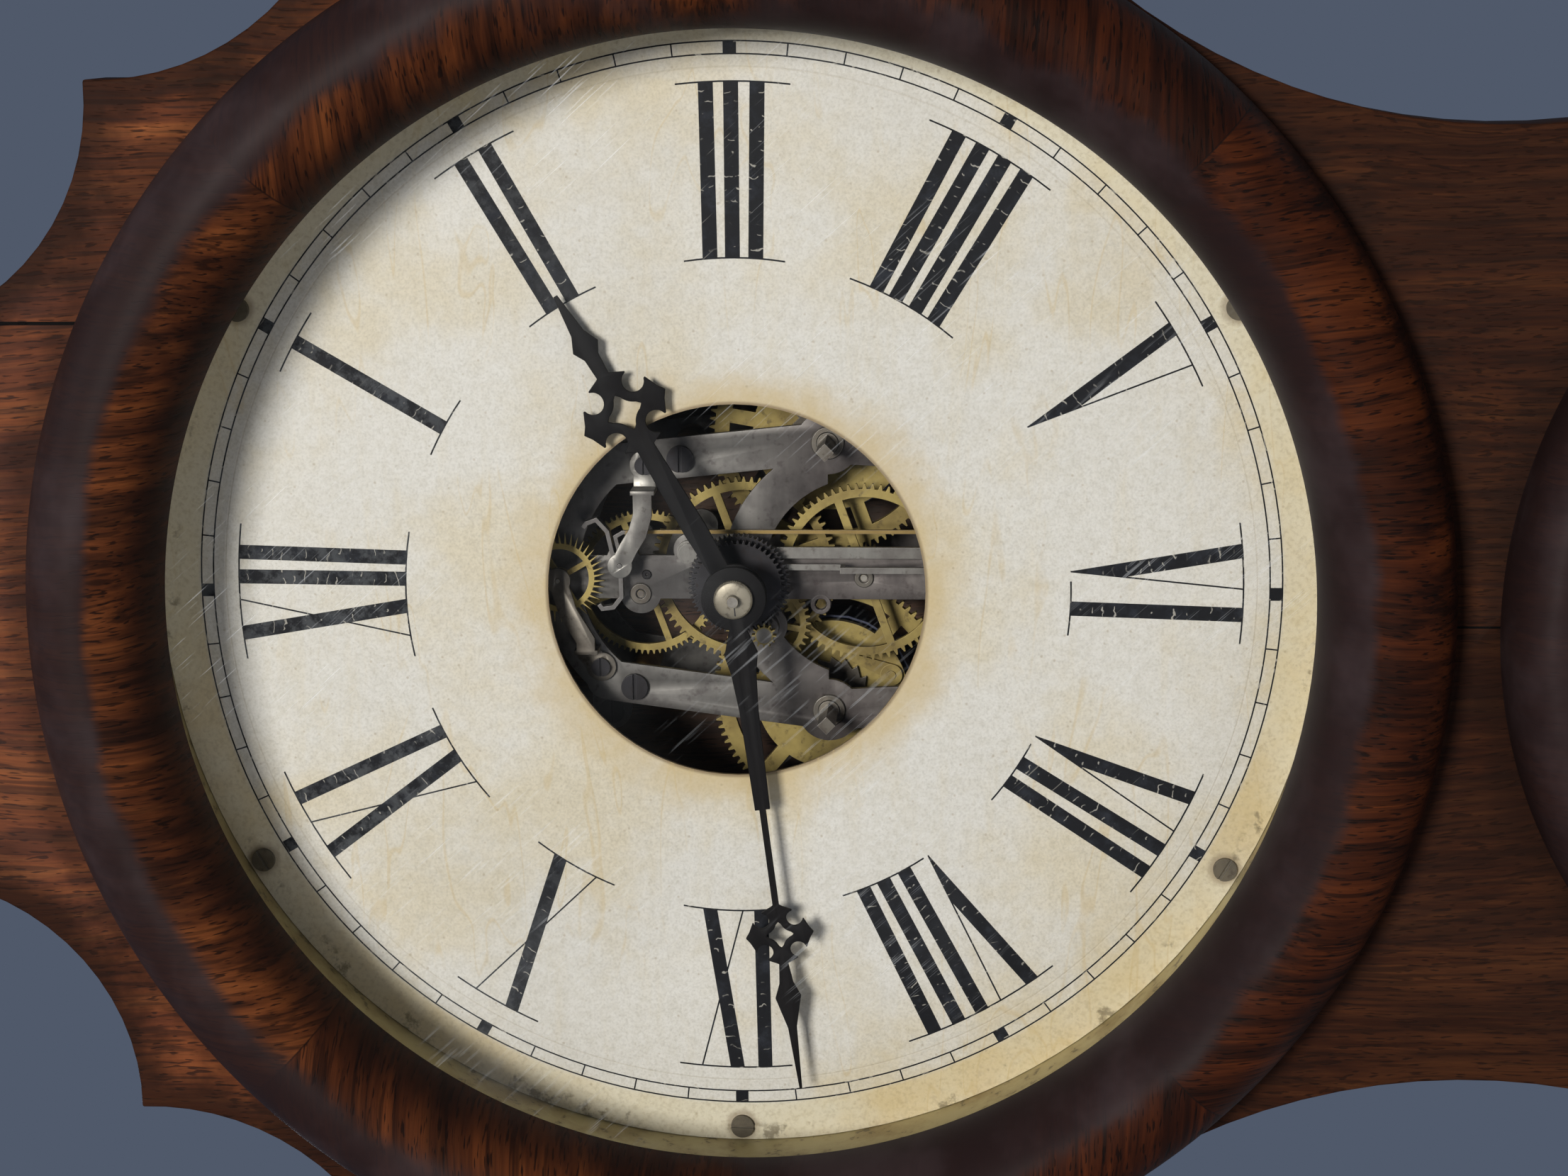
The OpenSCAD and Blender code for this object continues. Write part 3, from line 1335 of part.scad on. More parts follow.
// Rod that the day wheel's pin lifts, and that moves the date wheel on by one tooth
module calendar_rod() {
    back = front_plate_y - rod_layer - rod_t - 0.4;
    low_y = date_wheel_y;
    w = 2 * cal_rod_r;
    shelf_z = lift_pin_at + lift_pin_r + 0.4;
    bend_z = -dial_spacing + date_wheel_r + 10;
    color("gray") at_time() {
        translate([cal_rod_x - cal_rod_r, back - 0.6, -jog_down]) cube([w, 0.6, jog_down + shelf_z + 1]);
        translate([-4, front_plate_y - day_layer + 0.2, shelf_z]) cube([cal_rod_x + cal_rod_r + 4, back - 0.6 - front_plate_y + day_layer, 1]);
        translate([cal_rod_x - cal_rod_r, low_y - w, -jog_down]) cube([w, back - low_y + w, 1.2]);
        translate([cal_rod_x - cal_rod_r, low_y - w, bend_z]) cube([w, w, -jog_down - bend_z + 0.5]);
        translate([cal_rod_x - cal_rod_r, low_y - w, bend_z]) cube([cal_rod_low_x - cal_rod_x + w, w, w]);
        translate([cal_rod_low_x - cal_rod_r, low_y - w, -dial_spacing + 2]) cube([w, w, bend_z + dial_spacing - 1]);
    }
}

// Arm on the front plate's lower bar that holds the calendar rod in a fork, clear of the pendulum
fork_gap = 0.3;
module rod_fork(at_x, to_x, back, h) {
    front = date_wheel_y + fork_gap;
    reach = cal_rod_r + fork_gap + 1;
    low = min(at_x - reach, to_x);
    high = max(at_x + reach, to_x);
    translate([low, front, 0]) cube([high - low, 1, h]);
    for (s = [-1, 1]) translate([at_x + s * (reach - 0.5) - 0.5, date_wheel_y - 2 * cal_rod_r, 0])
        cube([1, front - date_wheel_y + 2 * cal_rod_r + 0.5, h]);
    translate([to_x - 0.5, front, 0]) cube([1, back - front, h]);
}

module rod_guide() {
    foot_x = -7;
    h = 5;
    color("goldenrod") at_time() translate([0, 0, pillar_low_z - h / 2]) {
        translate([foot_x - 9, front_plate_y - 1, 0]) cube([9.5, 1, h]);
        rod_fork(cal_rod_x, foot_x, front_plate_y, h);
    }
}

module calendar_frame() {
    tube_front = date_wheel_y + 0.4;
    outer = roller_in + roller_l + 0.5;
    inner = roller_in - 0.5;
    color("silver") at_calendar() difference() {
        union() {
            stand(cal_plate_y, plate_t) translate([-outer - 3, -24]) square([2 * (outer + 3), 48]);
            rod(4, cal_plate_y, tube_front);
            for (side = [-1, 1], x = [inner - cheek_t, outer])
                translate([side * (x + cheek_t / 2) - cheek_t / 2, roller_y - 5, -6])
                    cube([cheek_t, cal_plate_y - roller_y + 5, 12]);
            translate([0, 0, 17]) rod_fork(cal_rod_low_x, inner - cheek_t / 2, cal_plate_y, 3);
        }
        rod(date_arbor_r + pivot_fit, 1, dial_y);
        for (side = [-1, 1]) translate([0, roller_y, 0]) rotate([0, side * 90, 0])
            translate([0, 0, inner - 5]) cylinder(r = axle_r + pivot_fit, h = outer - inner + 10, $fn = 32);
        translate([0, 0, -cal_z]) at_calendar_posts() rod(wood_screw_r + pivot_fit, 1, dial_y, 24);
    }
}

module date_wheel() {
    color("goldenrod") at_calendar() {
        stand(date_wheel_y, 1.5) difference() {
            polygon([
                for (i = [0:date_n - 1]) each [
                    [date_wheel_r * cos(i * 360 / date_n), date_wheel_r * sin(i * 360 / date_n)],
                    [(date_wheel_r - 2.4) * cos((i + 0.12) * 360 / date_n), (date_wheel_r - 2.4) * sin((i + 0.12) * 360 / date_n)]
                ]
            ]);
            for (i = [0:2]) rotate(i * 120) translate([11.5, 0]) circle(r = 5.5, $fn = 48);
        }
        rod(date_arbor_r, cal_plate_y + 0.6, dial_y - hour_hand_up - hand_t - 1);
    }
}

module date_hand() {
    color("black") at_calendar() difference() {
        union() {
            stand(dial_y - hour_hand_up, hand_t) {
                circle(r = 5, $fn = 48);
                polygon([[-1.4, 0], [-1, date_hand_l - 16], [-3, date_hand_l - 10], [0, date_hand_l],
                    [3, date_hand_l - 10], [1, date_hand_l - 16], [1.4, 0]]);
                polygon([[-1.4, 0], [-2.4, -18], [2.4, -18], [1.4, 0]]);
            }
            rod(2.6, dial_y - hour_hand_up + 1.4, dial_y - hour_hand_up - 2.4, 32);
        }
        rod(date_arbor_r + 0.02, 1, dial_y - 20, 32);
    }
}

module roller(side) {
    at_calendar() translate([0, roller_y, 0]) rotate([0, side * 90, 0]) {
        translate([0, 0, roller_in]) cylinder(r = roller_r, h = roller_l);
        translate([0, 0, roller_in - 0.5 - cheek_t - 1]) cylinder(r = axle_r, h = roller_l + 2 * cheek_t + 3, $fn = 32);
    }
}
module weekday_roller() { color("ivory") roller(-1); }
module month_roller() { color("ivory") roller(1); }

back_board();
box_sides();
box_ends();
front_panel();
hanger_plate();
case_screws();
dial_rings();
dial_bands();
time_dial();
calendar_dial();
dial_screws();
time_bezel();
time_glass();
time_putty();
time_hinge_leaves();
time_catch_stud();
calendar_bezel();
calendar_glass();
calendar_putty();
calendar_hinge_leaves();
calendar_catch_stud();
case_hinge_leaves();
catch_clips();
back_plate();
front_plate();
pillars();
plate_screws();
mounting_posts();
left_great_wheel();
right_great_wheel();
left_click();
right_click();
left_winding_arbor();
right_winding_arbor();
left_mainspring();
right_mainspring();
second_wheel();
centre_wheel();
third_wheel();
escape_wheel();
verge();
verge_cock();
escape_bridge();
suspension_post();
pendulum_rod();
pendulum_bob();
rating_nut();
minute_wheel();
hour_wheel();
day_wheel();
hour_hand();
minute_hand();
hand_nut();
calendar_rod();
calendar_frame();
date_wheel();
date_hand();
weekday_roller();
month_roller();
rod_guide();
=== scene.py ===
import math
import bmesh
import bpy
from mathutils import Matrix, Vector


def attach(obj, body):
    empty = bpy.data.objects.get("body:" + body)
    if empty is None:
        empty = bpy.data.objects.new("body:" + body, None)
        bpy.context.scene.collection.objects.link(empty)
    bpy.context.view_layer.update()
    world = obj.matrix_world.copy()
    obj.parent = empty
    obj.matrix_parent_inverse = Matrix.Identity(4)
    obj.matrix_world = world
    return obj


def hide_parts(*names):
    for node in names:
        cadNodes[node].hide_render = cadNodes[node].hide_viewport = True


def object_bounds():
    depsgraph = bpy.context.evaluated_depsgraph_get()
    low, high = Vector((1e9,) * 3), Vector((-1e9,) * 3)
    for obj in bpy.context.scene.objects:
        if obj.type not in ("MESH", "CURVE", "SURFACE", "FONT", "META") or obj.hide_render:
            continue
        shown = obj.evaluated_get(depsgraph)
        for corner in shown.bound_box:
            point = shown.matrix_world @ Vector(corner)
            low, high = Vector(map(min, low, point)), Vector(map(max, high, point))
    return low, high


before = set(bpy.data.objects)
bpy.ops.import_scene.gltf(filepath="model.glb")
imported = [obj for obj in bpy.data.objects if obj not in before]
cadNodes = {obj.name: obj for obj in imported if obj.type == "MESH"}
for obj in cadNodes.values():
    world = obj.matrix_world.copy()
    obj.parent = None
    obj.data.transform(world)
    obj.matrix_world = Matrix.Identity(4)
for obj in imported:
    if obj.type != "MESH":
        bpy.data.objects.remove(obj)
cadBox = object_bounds()

# The clock in millimetres, as in its drawing: X to its right, Z up, its front towards -Y
mm = 0.001
clock = {
    "timeZ": -200, "calendarZ": -522, "dialY": -72.2, "bezelY": -101.5, "platesY": -53.2,
    "holeR": 49.5, "timeDialR": 152.4, "calendarDialR": 101.6,
}
timeCentre = Vector((0, 0, clock["timeZ"])) * mm
calendarCentre = Vector((0, 0, clock["calendarZ"])) * mm
timeDial = timeCentre + Vector((0, clock["dialY"], 0)) * mm

# Camera: the photograph is taken from in front and below, with the clock lying on its side in the picture
photoCamera = {
    "focal": 64.98, "sensor": 36, "nearest": 0.01, "fromDial": (153.7, -721.6, -58.0),
    "right": (-0.00864, 0.06101, -0.99810), "up": (0.97843, 0.20657, 0.00416),
    "back": (0.20643, -0.97653, -0.06147),
}


def addObject(name, data):
    made = bpy.data.objects.new(name, data)
    bpy.context.scene.collection.objects.link(made)
    return made


def makeCamera():
    data = bpy.data.cameras.new("camera")
    data.lens = photoCamera["focal"]
    data.sensor_width = photoCamera["sensor"]
    data.clip_start = photoCamera["nearest"]
    camera = addObject("camera", data)
    axes = Matrix([photoCamera[side] for side in ("right", "up", "back")])
    place = timeDial + Vector(photoCamera["fromDial"]) * mm
    camera.matrix_world = Matrix.Translation(place) @ axes.transposed().to_4x4()
    bpy.context.scene.camera = camera


makeCamera()
print("camera placed")


# Small tools for the materials' nodes
def tone(red, green, blue):
    linear = [((c / 255 + 0.055) / 1.055) ** 2.4 for c in (red, green, blue)]
    return (*linear, 1)


def shaderOf(tree):
    return next(n for n in tree.nodes if n.type == "BSDF_PRINCIPLED")


def startMaterial(name, fixed):
    material = bpy.data.materials.new(name)
    material.use_nodes = True
    tree = material.node_tree
    shader = shaderOf(tree)
    for socket, value in fixed.items():
        shader.inputs[socket].default_value = value
    return material, tree, shader


def node(tree, kind, inputs=None, **settings):
    made = tree.nodes.new("ShaderNode" + kind)
    for name, value in settings.items():
        setattr(made, name, value)
    for name, value in (inputs or {}).items():
        if isinstance(value, bpy.types.NodeSocket):
            tree.links.new(value, made.inputs[name])
        else:
            made.inputs[name].default_value = value
    return made


def calc(tree, way, *values, clamp=False):
    return node(tree, "Math", dict(enumerate(values)), operation=way, use_clamp=clamp).outputs[0]


def times(tree, first, second):
    return calc(tree, "MULTIPLY", first, second)


def plus(tree, first, second):
    return calc(tree, "ADD", first, second)


def minus(tree, first, second):
    return calc(tree, "SUBTRACT", first, second)


def vector(tree, way, *values):
    made = node(tree, "VectorMath", dict(enumerate(values)), operation=way)
    return made.outputs["Value" if way in ("LENGTH", "DISTANCE", "DOT_PRODUCT") else 0]


def mixTone(tree, share, first, second, way="MIX"):
    return node(tree, "Mix", {0: share, 6: first, 7: second}, data_type="RGBA", blend_type=way).outputs[2]


def mixValue(tree, share, first, second):
    return node(tree, "Mix", {0: share, 2: first, 3: second}, data_type="FLOAT").outputs[0]


# One colour laid over another, where the share says and never more than most
def laid(tree, under, over, share, most, way="MIX"):
    return mixTone(tree, times(tree, share, most), under, over, way)


def ramp(tree, value, stops):
    made = node(tree, "ValToRGB", {0: value})
    keys = made.color_ramp.elements
    while len(keys) < len(stops):
        keys.new(0.5)
    for key, (place, colour) in zip(keys, stops):
        key.position = place
        key.color = colour
    return made.outputs[0]


# A colour darkened where the value is low
def darkened(tree, colour, value, strength, low, high, tint):
    shade = ramp(tree, value, [(low, (*tint, 1)), (high, (1, 1, 1, 1))])
    return mixTone(tree, strength, colour, shade, "MULTIPLY")


def step(tree, value, low, high):
    return node(tree, "MapRange", {0: value, 1: low, 2: high}, interpolation_type="SMOOTHSTEP").outputs[0]


def objectPoint(tree):
    return node(tree, "TexCoord").outputs["Object"]


def fromCentre(tree, centre):
    return vector(tree, "SUBTRACT", objectPoint(tree), tuple(centre))


def stretched(tree, point, scale, move=(0, 0, 0), turn=(0, 0, 0)):
    inputs = {"Vector": point, "Location": move, "Rotation": turn, "Scale": scale}
    return node(tree, "Mapping", inputs).outputs[0]


def noise(tree, point, scale=1.0, detail=3.0, rough=0.5, twist=0.0):
    inputs = {"Vector": point, "Scale": scale, "Detail": detail, "Roughness": rough, "Distortion": twist}
    return node(tree, "TexNoise", inputs).outputs[0]


# Fine lines that slant up to the right in the photograph
def slantingLines(tree, point, scale):
    turned = stretched(tree, point, (1, 1, 1), turn=(0, math.radians(42), 0))
    return noise(tree, stretched(tree, turned, scale), 1.0, 2.0, 0.5)


def split(tree, point):
    return node(tree, "SeparateXYZ", {0: point}).outputs


def joined(tree, x, y, z):
    return node(tree, "CombineXYZ", {0: x, 1: y, 2: z}).outputs[0]


def away(tree, point, centre):
    return vector(tree, "DISTANCE", point, centre)


def axisDistance(tree, x, z):
    return vector(tree, "LENGTH", joined(tree, x, 0.0, z))


def bump(tree, height, distance, strength=1.0, normal=None):
    inputs = {"Height": height, "Distance": distance, "Strength": strength}
    if normal is not None:
        inputs["Normal"] = normal
    return node(tree, "Bump", inputs).outputs[0]


def roundedNormal(tree, radius):
    return node(tree, "Bevel", {"Radius": radius}, samples=4).outputs[0]


def wornEdge(tree, radius):
    sharp = node(tree, "NewGeometry").outputs["Normal"]
    turned = vector(tree, "DOT_PRODUCT", roundedNormal(tree, radius), sharp)
    return step(tree, turned, 0.995, 0.86)


def finish(tree, shader, colour, rough, normal=None):
    tree.links.new(colour, shader.inputs["Base Color"])
    tree.links.new(rough, shader.inputs["Roughness"])
    if normal is not None:
        tree.links.new(normal, shader.inputs["Normal"])


# Wood: broad bands, fine fibre and short dark pores along the grain, which runs along the point's Z.
# Each pair says how many cells to the metre it has across and along the grain.
# The sizes are the bands' width and length and the pores' length in millimetres.
woodCells = {"fibre": (1100, 34), "streak": (330, 11), "line": (760, 16), "poresAcross": 1650, "wander": 9.0}


def woodGrain(tree, point, tones, sizes):
    bandWidth, bandLength, poreLength = sizes

    def cells(across, along, *detail, move=(0, 0, 0)):
        return noise(tree, stretched(tree, swing, (across, across, along), move), 1.0, *detail)

    slow = {"Vector": point, "Scale": woodCells["wander"], "Detail": 2.0}
    wander = node(tree, "TexNoise", slow).outputs["Color"]
    shifted = vector(tree, "SUBTRACT", wander, (0.5, 0.5, 0.5))
    swing = vector(tree, "MULTIPLY_ADD", shifted, (0.02, 0.02, 0), point)
    bands = cells(1000 / bandWidth, 1000 / bandLength, 5.0, 0.62, 0.4)
    fibre = cells(*woodCells["fibre"], 3.0, 0.6)
    streak = cells(*woodCells["streak"], 3.0, 0.6)
    line = cells(*woodCells["line"], 2.0, 0.5, move=(3, 1, 0))
    pores = step(tree, cells(woodCells["poresAcross"], 1000 / poreLength, 1.0, 0.4), 0.6, 0.69)
    places = (0.3, 0.47, 0.58, 0.72)
    bandTones = [tones[name] for name in ("dark", "middle", "warm", "light")]
    colour = ramp(tree, bands, list(zip(places, bandTones)))
    colour = laid(tree, colour, tones["pore"], step(tree, line, 0.53, 0.62), 0.6)
    colour = laid(tree, colour, tones["dark"], step(tree, streak, 0.5, 0.72), 0.8)
    colour = laid(tree, colour, tones["light"], step(tree, streak, 0.5, 0.25), 0.35)
    colour = darkened(tree, colour, fibre, 0.55, 0.3, 0.62, (0.35, 0.33, 0.32))
    colour = laid(tree, colour, tones["pore"], pores, 0.8)
    return colour, minus(tree, times(tree, fibre, 0.4), pores), fibre


# Distance inside the scalloped outline, for the dark stain along its edge
outline = {
    "cusps": [((71, 220), (133.9, 157), 60.5), ((133.9, 157), (200, 87), 66.5),
              ((150, -384), (104, -440), 56), ((104, -440), (45, -495), 59)],
    "ears": [(200, 87, -55, 9), (150, -280.3, -384, 5)],
    "waist": (276, -190, 155), "crest": (0, 46.96, 187.04),
}


def hollowCentre(a, b, r):
    span = math.hypot(b[0] - a[0], b[1] - a[1])
    rise = math.sqrt(r * r - span * span / 4) / span
    return (a[0] + b[0]) / 2 - (b[1] - a[1]) * rise, (a[1] + b[1]) / 2 + (b[0] - a[0]) * rise


def outlineHollows():
    hollows = [(*hollowCentre(a, b, r), r) for a, b, r in outline["cusps"]]
    for halfWide, top, low, depth in outline["ears"]:
        r = ((top - low) ** 2 / 4 + depth ** 2) / (2 * depth)
        hollows.append((halfWide + r - depth, (top + low) / 2, r))
    return hollows + [outline["waist"]]


def edgeDistance(tree, point):
    x, _, z = split(tree, point)
    flat = joined(tree, calc(tree, "ABSOLUTE", x), 0.0, z)

    def fromArc(arcX, arcZ):
        return away(tree, flat, (arcX * mm, 0, (arcZ + clock["timeZ"]) * mm))

    crestX, crestZ, crestR = outline["crest"]
    nearest = minus(tree, crestR * mm, fromArc(crestX, crestZ))
    for hollowX, hollowZ, r in outlineHollows():
        nearest = calc(tree, "MINIMUM", nearest, minus(tree, fromArc(hollowX, hollowZ), r * mm))
    return nearest


panelWood = {
    "tones": {"dark": tone(74, 38, 21), "middle": tone(122, 64, 34), "warm": tone(154, 86, 44),
              "light": tone(182, 114, 62), "pore": tone(32, 16, 9)},
    # the stain tone also darkens the panel round the bezels, partly as painted contact shade
    "stain": tone(32, 19, 14), "olive": tone(140, 82, 42), "joint": tone(5, 3, 3), "upperGrey": tone(66, 52, 50),
    "patch": (0.6, 0.5, 0.46, 1), "figure": (0.42, 0.32, 0.26, 1),
    "bezels": ((timeCentre, 0.1785), (calendarCentre, 0.1302)),
    "sizes": (14.0, 190.0, 5.0),
    "joints": ((0.074, 0.00045, "GREATER_THAN", -0.1), (-0.002, 0.0003, "LESS_THAN", -0.3)),
}


def panelMaterial():
    material, tree, shader = startMaterial("walnutPanel", {"Specular IOR Level": 0.05})
    point = objectPoint(tree)
    colour, height, fibre = woodGrain(tree, point, panelWood["tones"], panelWood["sizes"])
    x, _, z = split(tree, point)
    patch = noise(tree, point, 16.0, 3.0, 0.55)
    # olive cast at the waist, redder above
    waist = times(tree, step(tree, z, -0.30, -0.37), step(tree, patch, 0.36, 0.6))
    colour = laid(tree, colour, panelWood["olive"], waist, 0.5, "COLOR")
    colour = laid(tree, colour, panelWood["patch"], step(tree, patch, 0.52, 0.36), 0.4, "MULTIPLY")
    # darker figure in the lower boards
    figure = noise(tree, stretched(tree, point, (420, 420, 24)), 1.0, 4.0, 0.7)
    lower = times(tree, step(tree, z, -0.29, -0.36), step(tree, figure, 0.47, 0.6))
    colour = laid(tree, colour, panelWood["figure"], lower, 0.8, "MULTIPLY")
    # greyer and darker towards the top
    colour = laid(tree, colour, panelWood["upperGrey"], step(tree, z, -0.12, 0.0), 0.4)
    # dark stain that creeps in from the sawn edge
    ragged = times(tree, noise(tree, point, 60.0, 4.0, 0.6), 0.02)
    edge = minus(tree, edgeDistance(tree, point), ragged)
    colour = laid(tree, colour, panelWood["stain"], step(tree, edge, 0.006, -0.007), 0.85)
    # grime gathered round the bezels, with painted contact shade where they meet the panel
    flat = joined(tree, x, 0.0, z)
    for centre, bezelR in panelWood["bezels"]:
        near = minus(tree, minus(tree, away(tree, flat, tuple(centre)), bezelR), ragged)
        colour = laid(tree, colour, panelWood["stain"], step(tree, near, 0.001, -0.008), 0.5)
    # glue joints between the panel's boards
    seams = [times(tree, calc(tree, "COMPARE", x, at, half), calc(tree, way, z, end))
             for at, half, way, end in panelWood["joints"]]
    seam = calc(tree, "MAXIMUM", *seams)
    colour = mixTone(tree, seam, colour, panelWood["joint"])
    rough = calc(tree, "MULTIPLY_ADD", fibre, 0.25, 0.5)
    relief = minus(tree, height, times(tree, seam, 6.0))
    finish(tree, shader, colour, rough, bump(tree, relief, 0.00012, 0.6, roundedNormal(tree, 0.0006)))
    return material


bezelWood = {
    "tones": {"dark": tone(44, 22, 12), "middle": tone(74, 38, 19), "warm": tone(98, 52, 25),
              "light": tone(124, 70, 34), "pore": tone(17, 8, 5)},
    # the plum tones are old polish with a painted reflection and sheen; the lip tone is painted shade
    "plumPolishAndReflection": tone(36, 25, 25), "plumReflectedSheen": tone(54, 43, 44), "mitre": tone(16, 9, 7), "lip": tone(22, 11, 8),
    "patch": (0.4, 0.33, 0.32, 1), "sides": (0.62, 0.5, 0.5, 1), "below": (0.4, 0.29, 0.24, 1),
    "sizes": (10.0, 130.0, 4.5), "crestHalfWide": 0.017,
}


# Bezel veneer in four mitred pieces, its grain across the moulding, darkened where it faces upwards by old
# polish and a painted reflection
def bezelMaterial(name, centre, lipR, crestR, outerR):
    material, tree, shader = startMaterial(name, {"Specular IOR Level": 0.08})
    point = fromCentre(tree, centre)
    x, y, z = split(tree, point)
    wide, tall = calc(tree, "ABSOLUTE", x), calc(tree, "ABSOLUTE", z)
    side = calc(tree, "GREATER_THAN", wide, tall)
    # each veneer piece takes its grain from another place
    right, upper = calc(tree, "GREATER_THAN", x, 0.0), calc(tree, "GREATER_THAN", z, 0.0)
    shift = plus(tree, right, times(tree, upper, 2.3))
    upright = joined(tree, x, y, plus(tree, z, shift))
    sideways = joined(tree, z, y, plus(tree, x, plus(tree, shift, 5.0)))
    bent = node(tree, "Mix", {0: side, 4: upright, 5: sideways}, data_type="VECTOR").outputs[1]
    grain = vector(tree, "MULTIPLY", bent, (1, 0.12, 1))
    colour, height, fibre = woodGrain(tree, grain, bezelWood["tones"], bezelWood["sizes"])
    radius = axisDistance(tree, x, z)
    patch = noise(tree, point, 26.0, 3.0, 0.55)
    colour = laid(tree, colour, bezelWood["patch"], step(tree, patch, 0.5, 0.34), 0.5, "MULTIPLY")
    colour = laid(tree, colour, bezelWood["sides"], side, 0.35, "MULTIPLY")
    # darker on the lower half
    colour = laid(tree, colour, bezelWood["below"], step(tree, z, 0.03, -0.09), 0.85, "MULTIPLY")
    # mitres between the veneer's pieces
    mitre = step(tree, calc(tree, "ABSOLUTE", minus(tree, wide, tall)), 0.00045, 0.0001)
    colour = laid(tree, colour, bezelWood["mitre"], mitre, 0.7)
    # painted shade towards the lip and at the outer edge, where the moulding meets the dial's recess and the
    # panel
    colour = laid(tree, colour, bezelWood["lip"], step(tree, radius, (lipR + 7) * mm, lipR * mm), 0.7)
    colour = laid(tree, colour, bezelWood["lip"], step(tree, radius, (outerR - 2) * mm, outerR * mm), 0.6)
    # plum-black old polish with a painted reflection of the room above, on the side of the moulding that
    # faces up, with lighter smears of painted sheen
    up = calc(tree, "DIVIDE", z, radius)
    slope = calc(tree, "DIVIDE", minus(tree, radius, crestR * mm), bezelWood["crestHalfWide"])
    facing = plus(tree, times(tree, plus(tree, slope, 0.24), up), 0.02)
    cloudy = times(tree, minus(tree, noise(tree, point, 42.0, 3.0, 0.55), 0.5), 0.5)
    plumPolishAndReflection = step(tree, plus(tree, facing, cloudy), -0.1, 0.12)
    sheenSmears = step(tree, noise(tree, point, 30.0, 4.0, 0.6), 0.42, 0.75)
    colour = laid(tree, colour, mixTone(tree, sheenSmears, bezelWood["plumPolishAndReflection"], bezelWood["plumReflectedSheen"]), plumPolishAndReflection, 0.93)
    rough = mixValue(tree, plumPolishAndReflection, plus(tree, times(tree, fibre, 0.2), 0.55), 0.52)
    relief = times(tree, height, minus(tree, 1.0, times(tree, plumPolishAndReflection, 0.8)))
    finish(tree, shader, colour, rough, bump(tree, relief, 0.0001, 0.5))
    return material


caseWood = {
    "tones": {"dark": tone(46, 28, 20), "middle": tone(72, 45, 30), "warm": tone(94, 61, 40),
              "light": tone(112, 76, 52), "pore": tone(28, 17, 13)},
    "dust": tone(150, 128, 104), "worn": tone(128, 92, 64), "sizes": (18.0, 260.0, 4.0),
}


def caseMaterial(name, lighten):
    material, tree, shader = startMaterial(name, {})
    colour, height, fibre = woodGrain(tree, objectPoint(tree), caseWood["tones"], caseWood["sizes"])
    dust = noise(tree, objectPoint(tree), 30.0, 4.0, 0.6)
    colour = laid(tree, colour, caseWood["dust"], step(tree, dust, 0.4, 0.75), lighten)
    colour = mixTone(tree, wornEdge(tree, 0.0008), colour, caseWood["worn"])
    rough = plus(tree, times(tree, fibre, 0.2), 0.55)
    finish(tree, shader, colour, rough, bump(tree, height, 0.00015, 0.7, roundedNormal(tree, 0.0005)))
    return material


dialPaint = {
    "white": tone(229, 227, 219), "warm": tone(223, 214, 190), "stain": tone(204, 180, 124),
    "margin": tone(230, 221, 190), "yellow": tone(220, 198, 142), "speck": tone(160, 140, 104),
    "dirt": tone(112, 88, 54), "edge": tone(104, 92, 66), "rust": tone(120, 92, 58),
    "screwsAt": (30, 90), "screwInset": 4, "creaseInset": 6.8,
}


